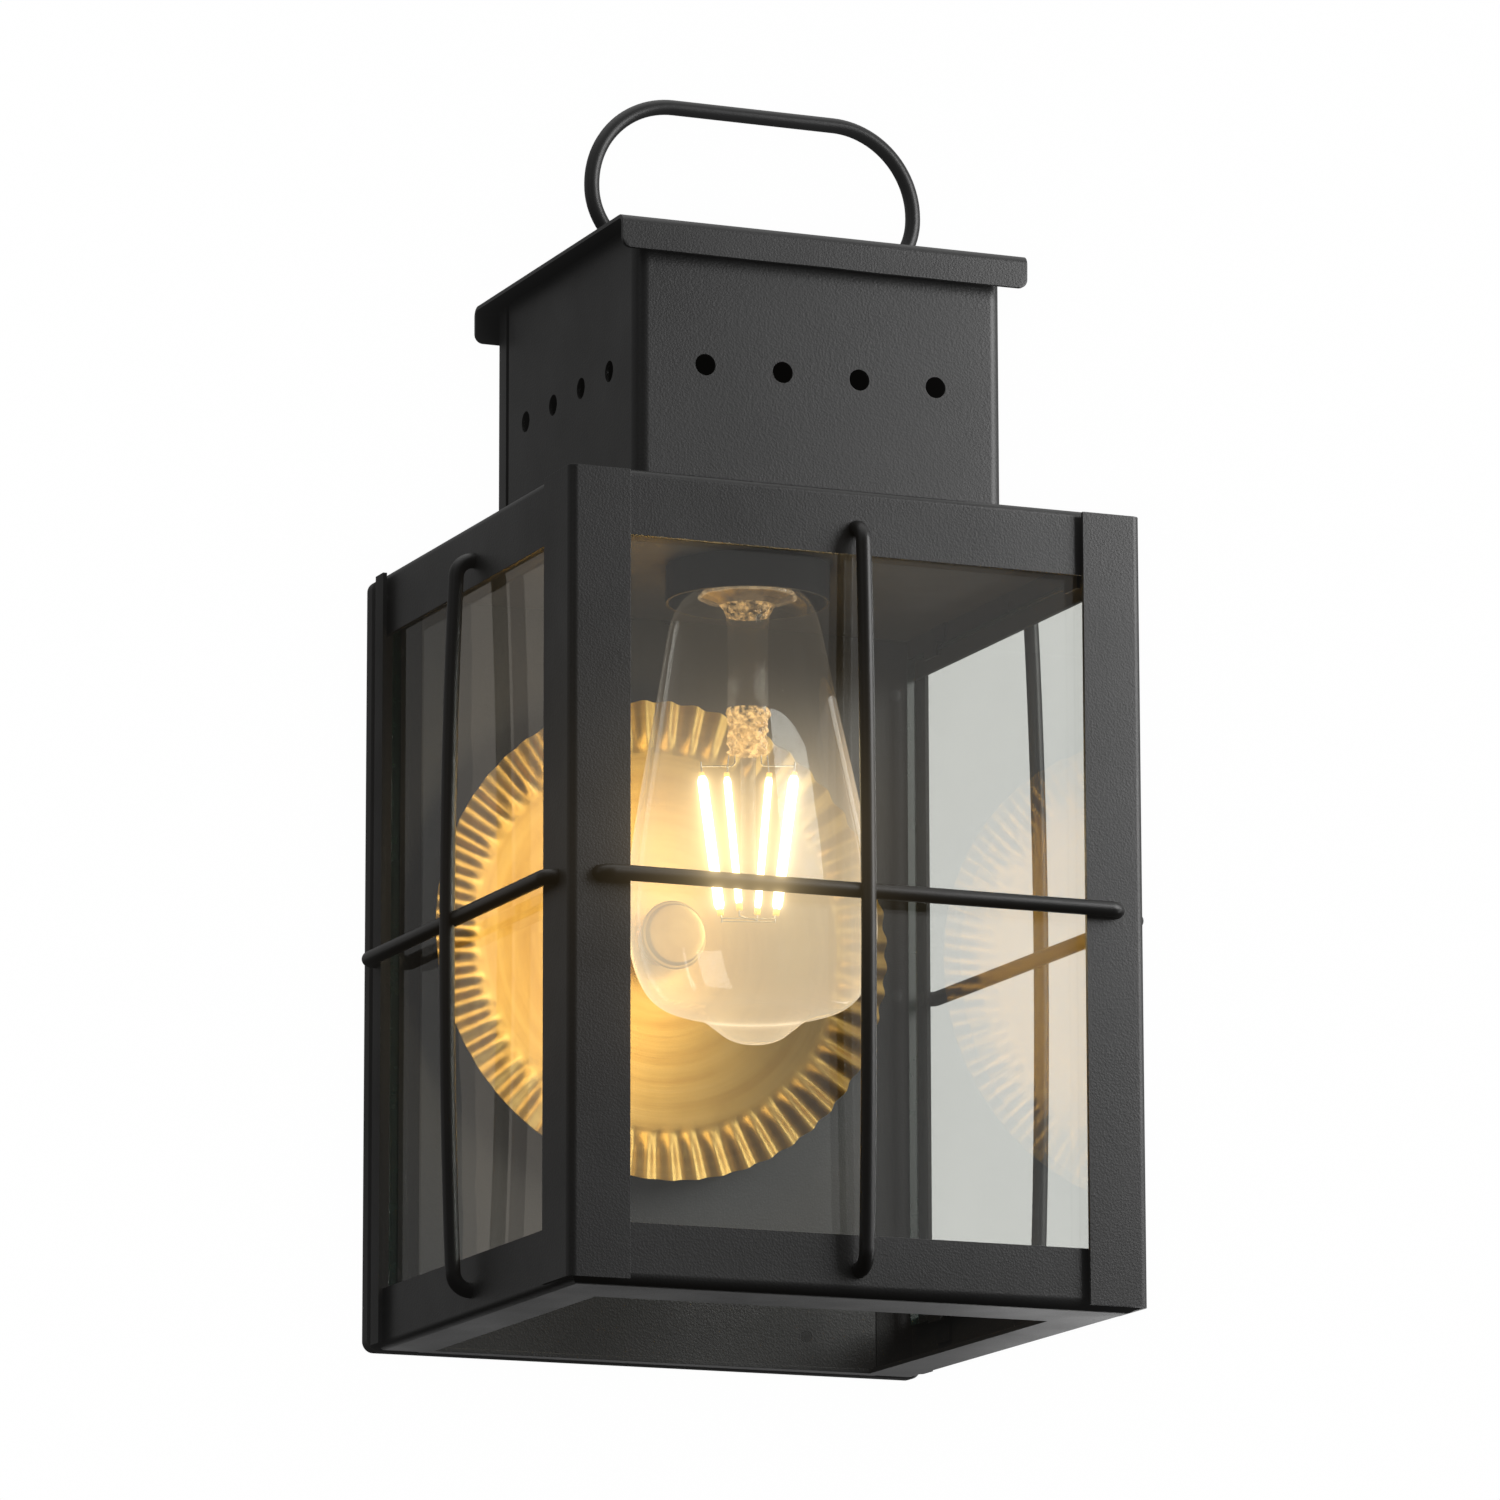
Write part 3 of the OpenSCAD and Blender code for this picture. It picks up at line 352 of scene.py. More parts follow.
PANE = thin_glass("pane_glass", (0.932, 0.938, 0.924, 1), reflect=1.25, wobble=0.012, dust=0.003)
PANE_LEFT = thin_glass("pane_glass_left", (0.932, 0.938, 0.924, 1), reflect=0.75, wobble=0.012, dust=0.003)
PANE_RIGHT = thin_glass("pane_glass_right", (0.932, 0.938, 0.924, 1), reflect=1.1, wobble=0.006, dust=0.003)
EDGE, te, be, oe = material("pane_edge", base=(0.004, 0.012, 0.009), rough=0.2)
te.put(be.inputs["Base Color"], te.ramp(te.noise(te.object(), 300, 3), [(0.3, (0.003, 0.010, 0.007, 1)), (0.7, (0.008, 0.024, 0.017, 1))]))
# painted glow: the bulb's lower glass gives off an even warm light of its own, standing in for the haze and glare round
# the lit filaments
BULB = thin_glass("bulb_glass", (0.975, 0.965, 0.950, 1), reflect=1.1, painted_haze_glow=(-0.010, 0.062, 0.138, 0.006, (1.0, 0.77, 0.52, 1), 2.6), wobble=0.01)


def inner_glass(name, mirror_share, milk_share, colour, bump, scale, rough=0.03, patches=(0.6, 1.4), clear_tint=(0.97, 0.96, 0.94, 1), lit=0.0, radial=False):
    """The thicker glass inside the bulb: clear, with a mirror share and a milky share broken up by a noise, and where
    lit is given, a painted glow that stands in for the strips' light falling on it.
    """
    mat = bpy.data.materials.new(name)
    mat.use_nodes = True
    t = Tree(mat.node_tree)
    out = t.n("ShaderNodeOutputMaterial")
    o = t.object()
    clear = t.n("ShaderNodeBsdfTransparent")
    clear.inputs["Color"].default_value = clear_tint
    mirror = t.n("ShaderNodeBsdfGlossy")
    mirror.inputs["Color"].default_value = (1.0, 0.97, 0.92, 1)
    mirror.inputs["Roughness"].default_value = rough
    grain = o
    if radial:
        x, y, z = t.xyz(o)
        grain = t.vec(t.math("MULTIPLY", t.math("ARCTAN2", t.math("SUBTRACT", y, MY / 1000), x), 0.022), 0.0, t.math("MULTIPLY", z, 0.35))
    if bump:
        t.link(t.bump(t.noise(grain, scale, 3, 0.6), bump, 0.0006), mirror.inputs["Normal"])
    lw = t.n("ShaderNodeLayerWeight")
    lw.inputs["Blend"].default_value = 0.5
    edge = t.math("MULTIPLY_ADD", t.math("POWER", lw.outputs["Facing"], 3.0), 0.8, mirror_share, clamp=True)
    m1 = t.n("ShaderNodeMixShader")
    t.link(edge, m1.inputs["Fac"])
    t.link(clear.outputs[0], m1.inputs[1])
    t.link(mirror.outputs[0], m1.inputs[2])
    milk = t.n("ShaderNodeBsdfTranslucent")
    milk.inputs["Color"].default_value = colour
    skin = t.n("ShaderNodeBsdfDiffuse")
    skin.inputs["Color"].default_value = colour
    both = t.n("ShaderNodeMixShader")
    both.inputs["Fac"].default_value = 0.5
    t.link(milk.outputs[0], both.inputs[1])
    t.link(skin.outputs[0], both.inputs[2])
    if lit:
        # painted glow: an emission in the glass's colour, standing in for the strips' light falling on the glass
        painted_glow_emission = t.n("ShaderNodeEmission")
        painted_glow_emission.inputs["Color"].default_value = colour
        painted_glow_emission.inputs["Strength"].default_value = lit
        m3 = t.n("ShaderNodeMixShader")
        m3.inputs["Fac"].default_value = 0.5
        t.link(both.outputs[0], m3.inputs[1])
        t.link(painted_glow_emission.outputs[0], m3.inputs[2])
        both = m3
        mat.cycles.emission_sampling = "NONE"
    share = t.math("MULTIPLY", t.map(t.noise(grain, scale, 3, 0.65), 0.35, 0.65, *patches), milk_share, clamp=True)
    m2 = t.n("ShaderNodeMixShader")
    t.link(share, m2.inputs["Fac"])
    t.link(m1.outputs[0], m2.inputs[1])
    t.link(both.outputs[0], m2.inputs[2])
    t.link(m2.outputs[0], out.inputs["Surface"])
    return mat


# painted glow: every part of the stem gives off some light of its own, strongest at the pinch and the knot
STEM = inner_glass("stem_glass", 0.06, 0.045, (0.98, 0.86, 0.66, 1), 0.35, 330, patches=(0.3, 1.7), lit=0.35, radial=True)
PINCH = inner_glass("stem_pinch", 0.26, 0.42, (1.0, 0.64, 0.26, 1), 1.0, 620, rough=0.06, patches=(-0.3, 1.9), clear_tint=(0.88, 0.80, 0.66, 1), lit=2.6)
FLARE = inner_glass("stem_flare", 0.10, 0.085, (1.0, 0.66, 0.32, 1), 0.5, 260, rough=0.08, patches=(0.1, 1.7), clear_tint=(0.94, 0.87, 0.76, 1), lit=0.8, radial=True)
# painted highlight: a brighter, glowing band on the flare's rim, standing in for the bright outline its edge shows
FLARE_RIM_PAINTED_HIGHLIGHT = inner_glass("stem_flare_rim_painted_highlight", 0.30, 0.42, (1.0, 0.74, 0.42, 1), 0.3, 260, rough=0.08, patches=(0.5, 1.4), lit=1.1, radial=True)
# painted highlights: a glowing, milky patch at the stem's top, standing in for the bright knot of glints there
KNOT_PAINTED_GLINTS = inner_glass("stem_knot_painted_glints", 0.24, 0.34, (1.0, 0.62, 0.24, 1), 1.0, 520, rough=0.06, patches=(-0.5, 1.9), clear_tint=(0.90, 0.80, 0.64, 1), lit=2.0)

GLOW = bpy.data.materials.new("filament_phosphor")
GLOW.use_nodes = True
tg = Tree(GLOW.node_tree)
og = tg.n("ShaderNodeOutputMaterial")
em = tg.n("ShaderNodeEmission")
chips = tg.noise(tg.object(), 900, 2)
tg.put(em.inputs["Color"], tg.ramp(chips, [(0.3, (1.0, 0.70, 0.33, 1)), (0.7, (1.0, 0.78, 0.44, 1))]))
em.inputs["Strength"].default_value = 9.5
tg.link(em.outputs[0], og.inputs["Surface"])


# painted glow: the strips' bare ends give off a weak orange light of their own, standing in for the strips' light on
# them
FILAMENT_END_PAINTED_GLOW, te2, be2, oe2 = material("filament_end_painted_glow", base=(0.80, 0.46, 0.10), rough=0.5)
te2.put(be2.inputs["Base Color"], te2.ramp(te2.noise(te2.object(), 700, 3), [(0.3, (0.74, 0.40, 0.07, 1)), (0.7, (0.90, 0.56, 0.16, 1))]))
be2.inputs["Emission Color"].default_value = (1.0, 0.55, 0.10, 1)
be2.inputs["Emission Strength"].default_value = 0.9


# ------------------------------------------------------------------ mesh helpers
def add(name, bm, mats, body="body", smooth=True, replaces=(), weighted=True, angle=None):
    me = bpy.data.meshes.new(name)
    bm.normal_update()
    bm.to_mesh(me)
    bm.free()
    for mm_ in mats if isinstance(mats, (list, tuple)) else [mats]:
        me.materials.append(mm_)
    for p in me.polygons:
        p.use_smooth = smooth
    ob = bpy.data.objects.new(name, me)
    SC.collection.objects.link(ob)
    if angle is not None:
        sharp_edges(me, angle)
    if weighted:
        w = ob.modifiers.new("normals", "WEIGHTED_NORMAL")
        w.mode = "FACE_AREA"
        w.weight = 100
        w.keep_sharp = True
    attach(ob, body)
    if replaces:
        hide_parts(*replaces)
    return ob


def sharp_edges(me, angle):
    bm = bmesh.new()
    bm.from_mesh(me)
    for e in bm.edges:
        e.smooth = not (len(e.link_faces) == 2 and e.calc_face_angle(0) > math.radians(angle))
    bm.to_mesh(me)
    bm.free()


def node_bm(node):
    bm = bmesh.new()
    bm.from_mesh(NODES[node].data)
    bmesh.ops.remove_doubles(bm, verts=bm.verts, dist=1.5e-6)
    bmesh.ops.dissolve_degenerate(bm, dist=1e-7, edges=bm.edges)
    bmesh.ops.dissolve_limit(bm, angle_limit=math.radians(0.6), verts=bm.verts, edges=bm.edges, delimit={"NORMAL"})
    return bm


def refine(node, mat, width=0.25, segments=2, name=None, angle=32, warp=None, body="body"):
    """A CAD node's shape as its own piece, with its sheet edges rounded as bent and coated steel has them."""
    bm = node_bm(node)
    edges = [e for e in bm.edges if len(e.link_faces) == 2 and e.calc_face_angle(0) > math.radians(angle)]
    if edges and width:
        bmesh.ops.bevel(bm, geom=edges, offset=width / 1000, offset_type="OFFSET", segments=segments, profile=0.5, affect="EDGES", clamp_overlap=True)
    if warp:
        bmesh.ops.triangulate(bm, faces=[f for f in bm.faces if len(f.verts) > 4])
        warp(bm)
    bmesh.ops.triangulate(bm, faces=[f for f in bm.faces if len(f.verts) > 4])
    return add(name or node + "_skin", bm, mat, body=body, replaces=(node,))


def lathe(bm, profile, steps, place, closed_top=False, closed_bottom=False, wobble=None):
    """Turns (radius, height) points round an axis. place(r, h, angle) gives the point."""
    rings = []
    for r, h in profile:
        if r < 1e-6:
            rings.append([bm.verts.new(place(0.0, h, 0.0))])
        else:
            rings.append([bm.verts.new(place(r if wobble is None else wobble(r, h, 2 * math.pi * k / steps), h, 2 * math.pi * k / steps)) for k in range(steps)])
    for a, b in zip(rings, rings[1:]):
        for k in range(steps):
            k2 = (k + 1) % steps
            if len(a) == 1 and len(b) == 1:
                continue
            if len(a) == 1:
                bm.faces.new((a[0], b[k2], b[k]))
            elif len(b) == 1:
                bm.faces.new((a[k], a[k2], b[0]))
            else:
                bm.faces.new((a[k], a[k2], b[k2], b[k]))
    if closed_top and len(rings[-1]) > 1:
        bm.faces.new(rings[-1])
    if closed_bottom and len(rings[0]) > 1:
        bm.faces.new(list(reversed(rings[0])))
    return rings


LAMP_UP = 0.6  # height of the lampholder and bulb above the heights drawn below, mm


def about_z(r, h, a, cx=0.0, cy=MY):
    return pt(cx + r * math.cos(a), cy + r * math.sin(a), h + LAMP_UP)


def about_y(r, h, a, cx=0.0, cz=MOUNT):
    """h is the distance from the wall."""
    return pt(cx + r * math.cos(a), -h, cz + r * math.sin(a))


def catmull(points, per):
    """A smooth line through (radius, height) points."""
    out = []
    n = len(points)
    for i in range(n - 1):
        p0, p1, p2, p3 = points[max(i - 1, 0)], points[i], points[i + 1], points[min(i + 2, n - 1)]
        for k in range(per):
            u = k / per
            out.append(tuple(0.5 * ((2 * b) + (-a + c) * u + (2 * a - 5 * b + 4 * c - d) * u * u + (-a + 3 * b - 3 * c + d) * u ** 3) for a, b, c, d in zip(p0, p1, p2, p3)))
    out.append(points[-1])
    return out


def tube(name, path, radius, mat, body="body", replaces=(), ring=20, closed=False, squash=None):
    """A round wire along a smooth path of points in mm, with closed ends."""
    bm = bmesh.new()
    n = len(path)
    P = [pt(*p) for p in path]
    rings = []
    side = None
    for i, p in enumerate(P):
        if closed:
            d = (P[(i + 1) % n] - P[i - 1]).normalized()
        else:
            d = (P[min(i + 1, n - 1)] - P[max(i - 1, 0)]).normalized()
        if side is None:
            side = d.orthogonal().normalized()
        side = (side - d * side.dot(d)).normalized()
        other = d.cross(side)
        rr = radius / 1000
        if squash:
            rr *= squash(i, n)
        rings.append([bm.verts.new(p + (side * math.cos(2 * math.pi * k / ring) + other * math.sin(2 * math.pi * k / ring)) * rr) for k in range(ring)])
    pairs = list(zip(rings, rings[1:]))
    if closed:
        # the last ring turns to meet the first
        first, last = rings[0], rings[-1]
        best = min(range(ring), key=lambda s: (last[0].co - first[s].co).length)
        pairs.append((last, first[best:] + first[:best]))
    for a, b in pairs:
        for k in range(ring):
            k2 = (k + 1) % ring
            bm.faces.new((a[k], a[k2], b[k2], b[k]))
    if not closed:
        bm.faces.new(list(reversed(rings[0])))
        bm.faces.new(rings[-1])
    bmesh.ops.recalc_face_normals(bm, faces=bm.faces)
    return add(name, bm, mat, body=body, replaces=replaces, angle=50)


def arc(cx, cz, r, a0, a1, n):
    return [(cx + r * math.cos(math.radians(a0 + (a1 - a0) * k / n)), cz + r * math.sin(math.radians(a0 + (a1 - a0) * k / n))) for k in range(n + 1)]


# ------------------------------------------------------------------ sheet metal
refine("roof_tray", BLACK, 0.28)
refine("bottom_frame", BLACK, 0.28)
for n in ("post_front_left", "post_front_right"):
    refine(n, BLACK, 0.26)
# painted shade: the rear posts take the darker copy of the coat
for n in ("post_rear_left", "post_rear_right"):
    refine(n, BLACK_REAR_PAINTED_SHADE, 0.26)
pan = refine("back_pan", BLACK_WALL_PAINTED_LIGHT, 0.3)
pan.data.materials.append(BLACK_REAR_PAINTED_SHADE)
for p in pan.data.polygons:  # painted light and shade: the wall's front face takes the paler copy of the coat, standing in for the light on it, and the rim and the back take the darker copy, standing in for shade
    p.material_index = 0 if p.normal.y < -0.5 else 1
# painted light: the ceiling plate takes the paler copy of the coat as well
refine("ceiling_plate", BLACK_WALL_PAINTED_LIGHT, 0.2)
refine("chimney_shell", BLACK, 0.26)
refine("chimney_back", BLACK, 0.26)
refine("handle_saddles", BLACK_WIRE, 0.25)
refine("lamp_cup", BLACK_IN, 0.15)


def hammered(bm):
    """The cap's lips were dressed by hand: shallow dents, deepest at the lower edge."""
    mid = (MY - 0.4) / 1000
    for _ in range(3):
        ed = [e for e in bm.edges if e.calc_length() > 0.0045 and all(abs(v.co.y - mid) > 0.0465 for v in e.verts)]
        if ed:
            bmesh.ops.subdivide_edges(bm, edges=ed, cuts=1, use_grid_fill=True)
    top = (278.3 - MOUNT) / 1000
    for v in bm.verts:
        if abs(v.co.y - mid) > 0.050:
            k = min(1.0, max(0.0, (top - v.co.z) / 0.009))
            s = noise.noise(Vector((v.co.x * 62, 3.1, v.co.z * 40))) + 0.5 * noise.noise(Vector((v.co.x * 150, 7.7, v.co.z * 120)))
            v.co.y += 0.00040 * k * (abs(s) if v.co.y < mid else -abs(s))
            v.co.z += 0.00025 * k * abs(noise.noise(Vector((v.co.x * 45, 1.7, 0))))


cap = refine("cap", BLACK, 0.3, warp=hammered)
cap.data.materials.append(BLACK_UNDER_PAINTED_SHADE)
for p in cap.data.polygons:  # painted shade: the underside under the lip takes a darker, matt copy of the coat, standing in for the shade there
    p.material_index = 1 if p.normal.z < -0.7 and p.center.z > (277.0 - MOUNT) / 1000 else 0


# ------------------------------------------------------------------ handle and guards
HY = MY - 4.5
BAR_Z, HW, HH, HR, HB = 280.9, 45.9, 41.5, 23.0, 18.0
loop = []
loop += arc(HW - HR, BAR_Z + HH - HR, HR, 0, 90, 26)
loop += [(x, BAR_Z + HH) for x in (17, 11, 5, 0, -5, -11, -17)]
loop += arc(-(HW - HR), BAR_Z + HH - HR, HR, 90, 180, 26)
loop += arc(-(HW - HB), BAR_Z + HB, HB, 180, 270, 22)
loop += [(x, BAR_Z) for x in (-24, -18, -12, -6, 0, 6, 12, 18, 24)]
loop += arc(HW - HB, BAR_Z + HB, HB, 270, 360, 22)
clean = [loop[0]]
for p in loop[1:]:
    if math.dist(p, clean[-1]) > 0.3:
        clean.append(p)
if math.dist(clean[0], clean[-1]) < 0.3:
    clean.pop()
tube("handle_wire", [(x, HY, z) for x, z in clean], 2.0, BLACK_WIRE, body="handle", replaces=("handle",), ring=24, closed=True)


def guard(name, node, a, b, r, inset, put, bow=0.0):
    """A rod with bowed ends: a and b are its ends' coordinates along it, r the bend radius, and
    bow is how much nearer to the lamp the straight part's ends lie than its middle."""
    path = [(a, bow + r + inset)]
    path += [(a + r - r * math.cos(math.radians(t)), bow + r - r * math.sin(math.radians(t))) for t in range(0, 91, 10)]
    steps = 18
    for k in range(1, steps):
        u = 2 * k / steps - 1
        path.append((a + r + (b - a - 2 * r) * k / steps, bow * u * u))
    path += [(b - r + r * math.sin(math.radians(t)), bow + r - r * math.cos(math.radians(t))) for t in range(0, 91, 10)]
    path.append((b, bow + r + inset))
    tube(name, [put(u, d) for u, d in path], 2.0, BLACK_WIRE, replaces=(node,), ring=22)


OFF, OFF_UP, RAIL_IN = 2.6, 4.6, 2.2
FRONT = -147.0
LOW, HIGH, CROSS = 6.5, 196.5, 102.1
guard("guard_front_upright_rod", "guard_front_upright", LOW, HIGH, OFF + RAIL_IN, 1.0, lambda u, d: (0, FRONT - OFF_UP + d, u), bow=2.0)
guard("guard_front_cross_rod", "guard_front_cross", -70.8, 70.8, OFF, 1.0, lambda u, d: (u, FRONT - OFF + d, CROSS))
for side, s in (("left", -1), ("right", 1)):
    guard(f"guard_{side}_upright_rod", f"guard_{side}_upright", LOW, HIGH, OFF + RAIL_IN, 1.0, lambda u, d, s=s: (s * (79 + OFF_UP - d), MY, u), bow=2.0)
    guard(f"guard_{side}_cross_rod", f"guard_{side}_cross", FRONT + 9, -8.4, OFF, 1.0, lambda u, d, s=s: (s * (79 + OFF - d), u, CROSS))


# ------------------------------------------------------------------ panes
def pane(node):
    bm = node_bm(node)
    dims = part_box(node)
    size = dims[1] - dims[0]
    thin = min(range(3), key=lambda k: size[k])
    bmesh.ops.bevel(bm, geom=[e for e in bm.edges if e.calc_face_angle(0) > 0.5], offset=0.00025, offset_type="OFFSET", segments=1, affect="EDGES")
    bm.normal_update()
    for f in bm.faces:
        f.material_index = 0 if abs(f.normal[thin]) > 0.95 else 1
    add(node + "_pane", bm, [{"glass_front": PANE, "glass_left": PANE_LEFT, "glass_right": PANE_RIGHT}[node], EDGE], smooth=False, weighted=False, replaces=(node,))


for n in ("glass_front", "glass_left", "glass_right"):
    pane(n)


# ------------------------------------------------------------------ reflector
def crimped(bm):
    flutes, per = 55, 14
    steps = flutes * per
    rng = random.Random(7)
    deep = [rng.uniform(0.86, 1.12) for _ in range(flutes)]
    turn = [rng.uniform(-0.05, 0.05) for _ in range(flutes)]
    reach = [rng.uniform(-0.6, 0.5) for _ in range(flutes)]
    radii = [2.8, 4, 6, 8, 11, 14, 18, 22, 26, 30, 34, 38, 42, 45, 47.5, 49.5, 50.8, 51.6, 52.3, 53.0, 53.8, 54.8, 56, 57.4, 59, 60.6, 62, 63.2, 64.0, 64.5, 64.8]

    def front(r, k):
        f = (k // per) % flutes
        u = (k % per) / per
        # the flute's crest lies in the middle of its share
        base = 12.2 + 1.5 * min(1.0, max(0.0, (r - 9) / 42)) ** 2.2
        start = 50.6 + reach[f]
        g = min(1.0, max(0.0, (r - start) / 6.5))
        g = g * g * (3 - 2 * g)
        lift = 1.25 * min(1.0, max(0.0, (r - 52) / 12.8)) ** 0.85
        wave = 0.5 + 0.5 * math.cos(2 * math.pi * (u - 0.5 + turn[f] * math.sin(math.pi * u)))
        return base + lift + g * deep[f] * (wave * 1.35 - 0.55)

    def rim(r, k):
        f = (k // per) % flutes
        u = (k % per) / per
        if r < 60:
            return r
        return r + (r - 60) / 4.8 * 0.35 * (math.cos(2 * math.pi * (u - 0.5)) * 0.6 - 0.6)

    rows_f, rows_b = [], []
    for r in radii:
        ra, rb = [], []
        for k in range(steps):
            a = 2 * math.pi * (k + 0.5) / steps
            q = rim(r, k)
            y = min(front(r, k), 16.35)
            ra.append(bm.verts.new(pt(q * math.cos(a), -y, MOUNT + q * math.sin(a))))
            rb.append(bm.verts.new(pt(q * math.cos(a), -(y - 0.7 if r < 64.7 else y - 0.55), MOUNT + q * math.sin(a))))
        rows_f.append(ra)
        rows_b.append(rb)
    for rows in (rows_f, rows_b):
        for a, b in zip(rows, rows[1:]):
            for k in range(steps):
                k2 = (k + 1) % steps
                bm.faces.new((a[k], a[k2], b[k2], b[k]))
    for ra, rb in ((rows_f[0], rows_b[0]), (rows_f[-1], rows_b[-1])):
        for k in range(steps):
            k2 = (k + 1) % steps
            bm.faces.new((ra[k], ra[k2], rb[k2], rb[k]))
    bmesh.ops.recalc_face_normals(bm, faces=bm.faces)
    for f in bm.faces:
        c = f.calc_center_median()
        f.material_index = 1 if math.hypot(c.x, c.z) > 0.0505 else 0


bm = bmesh.new()
crimped(bm)
add("reflector_crimped", bm, [BRASS, BRASS_FLUTE], replaces=("reflector",), angle=60)

bm = bmesh.new()
nut = [(2.56, 13.2), (4.6, 13.2), (4.8, 13.4), (4.8, 20.3), (5.0, 20.9), (5.4, 21.4), (6.0, 21.75), (6.6, 21.9), (8.8, 21.9), (9.1, 22.05), (9.2, 22.3), (9.2, 22.6), (9.1, 22.85), (8.9, 22.98), (8.6, 23.0), (8.35, 23.05), (8.2, 23.25), (8.2, 24.5), (8.1, 24.85), (7.85, 25.08), (7.5, 25.15), (6.0, 25.17), (4.0, 25.18), (2.0, 25.19), (0, 25.2)]


def knurl(r, h, a):
    return r - (0.10 * (0.5 + 0.5 * math.cos(60 * a)) if 23.4 < h < 24.6 and r > 8 else 0.0)


lathe(bm, nut, 288, about_y, wobble=knurl)
lathe(bm, [(0, 22.4), (2.56, 22.4), (2.56, 13.2)], 288, about_y)
bmesh.ops.remove_doubles(bm, verts=bm.verts, dist=1e-6)
bmesh.ops.recalc_face_normals(bm, faces=bm.faces)
add("reflector_knob", bm, BRASS_NUT, body="nut", replaces=("reflector_nut",), angle=40)


# ------------------------------------------------------------------ bulb
outline = [(12.9, 200.4), (12.9, 197.6), (12.95, 195.6), (13.5, 194.4), (14.6, 193.3), (15.8, 192.3), (17.0, 191.0), (18.1, 189.2), (19.1, 186.9), (20.3, 182.4), (22.6, 170), (25.5, 155), (28.4, 140), (30.8, 126.5), (32.2, 114.5), (32.6, 106), (32.0, 99), (30.5, 92.8), (27.9, 87.4), (24.3, 84.1), (20.2, 82.5), (16.6, 81.6), (13.3, 80.3), (10.5, 78.2), (7.3, 75.8), (4.2, 74.6), (1.8, 74.3), (0, 74.3)]
outline = [(min(r, 32.55), z) for r, z in catmull(outline, 5)]
FAN = math.radians(-22.8)  # the plane of the pinch, the wires and the filaments


def leaning(r, h, a):
    """Blown glass is never quite straight: its tip lies a little to one side."""
    d = max(-0.7, min(1.7, (150 - h) * 0.022)) * min(1.0, max(0.0, (197 - h) / 10))
    return about_z(r, h, a, cx=d * math.cos(FAN), cy=MY + d * math.sin(FAN))


bm = bmesh.new()
lathe(bm, outline, 112, leaning, closed_bottom=True)
bmesh.ops.recalc_face_normals(bm, faces=bm.faces)
add("bulb_envelope", bm, BULB, body="bulb", replaces=("bulb_glass",), weighted=False)


def fan(u, n, z):
    """A point of the bulb's inside: u across the pinch, n in front of (below zero) or behind its plane."""
    return (u * math.cos(FAN) - n * math.sin(FAN), MY + u * math.sin(FAN) + n * math.cos(FAN), z)


# stem: a flare in the neck, a tube, its crumpled pinch round the wires, and a rod below it
bm = bmesh.new()
levels = [(9.8, 9.8, 198.4), (9.8, 9.8, 197.6), (10.6, 10.6, 195.6), (12.3, 12.3, 193.6), (13.0, 13.0, 192.9), (12.8, 12.8, 192.4), (11.0, 11.0, 192.0), (8.6, 8.6, 191.2), (6.7, 6.7, 189.8), (5.7, 5.7, 187.6), (5.35, 5.35, 184), (5.3, 5.3, 176), (5.3, 5.3, 168), (5.35, 5.1, 164.5), (5.6, 4.3, 162), (5.5, 3.2, 160.4), (5.15, 2.4, 159.2), (5.0, 2.2, 158), (5.2, 2.5, 156.6), (4.9, 2.2, 155.2), (5.15, 2.4, 153.8), (4.95, 2.1, 152.4), (5.2, 2.2, 151.2), (4.6, 2.0, 150.6), (2.9, 1.9, 150.2), (2.1, 2.0, 149.6), (2.0, 2.0, 148), (2.0, 2.0, 140), (2.0, 2.0, 126), (2.0, 2.0, 112), (2.1, 2.1, 110), (2.25, 2.25, 109), (1.7, 1.7, 108.2), (0.6, 0.6, 108)]
dense = []
for (ax, ay, az), (bx_, by_, bz_) in zip(levels, levels[1:]):
    for k in range(3):
        u = k / 3
        dense.append((ax + (bx_ - ax) * u, ay + (by_ - ay) * u, az + (bz_ - az) * u))
dense.append(levels[-1])
rows = []
steps = 64
for ax, ay, az in dense:
    row = []
    for k in range(steps):
        a = 2 * math.pi * k / steps
        w = 1.0
        if 150.4 < az < 162.5:
            w += 0.16 * noise.noise(Vector((math.cos(a) * 2.6, math.sin(a) * 2.6, az * 0.9)))
            w += 0.08 * noise.noise(Vector((math.cos(a) * 7, math.sin(a) * 7, az * 2.1)))
        elif 189.0 < az < 193.4:
            w += 0.02 * math.cos(9 * a + az)
        x_, y_, z_ = fan(ax * w * math.cos(a), ay * w * math.sin(a), az)
        row.append(bm.verts.new(pt(x_, y_, z_ + LAMP_UP)))
    rows.append(row)
for (a, b), mid in zip(zip(rows, rows[1:]), dense):
    for k in range(steps):
        k2 = (k + 1) % steps
        f = bm.faces.new((a[k], a[k2], b[k2], b[k]))
        # index 3 is the flare rim's painted highlight, index 4 the knot's painted glints
        f.material_index = 3 if 192.3 < mid[2] < 193.3 else 2 if mid[2] > 190.6 else 4 if mid[2] > 187.6 else (1 if 150.3 < mid[2] <= 163.0 else 0)
bm.faces.new(rows[0])
bm.faces.new(list(reversed(rows[-1])))
bmesh.ops.recalc_face_normals(bm, faces=bm.faces)
add("bulb_stem_glass", bm, [STEM, PINCH, FLARE, FLARE_RIM_PAINTED_HIGHLIGHT, KNOT_PAINTED_GLINTS], body="bulb", replaces=("bulb_stem",), weighted=False)

HI = [(-12.0, 0.0, 144.9), (-5.5, 0.8, 144.9), (5.5, 0.8, 144.9), (12.0, 0.0, 144.9)]
LO = [(-7.4, 0.0, 109.6), (-2.4, -3.3, 110.4), (2.4, 3.3, 110.4), (7.4, 0.0, 109.6)]


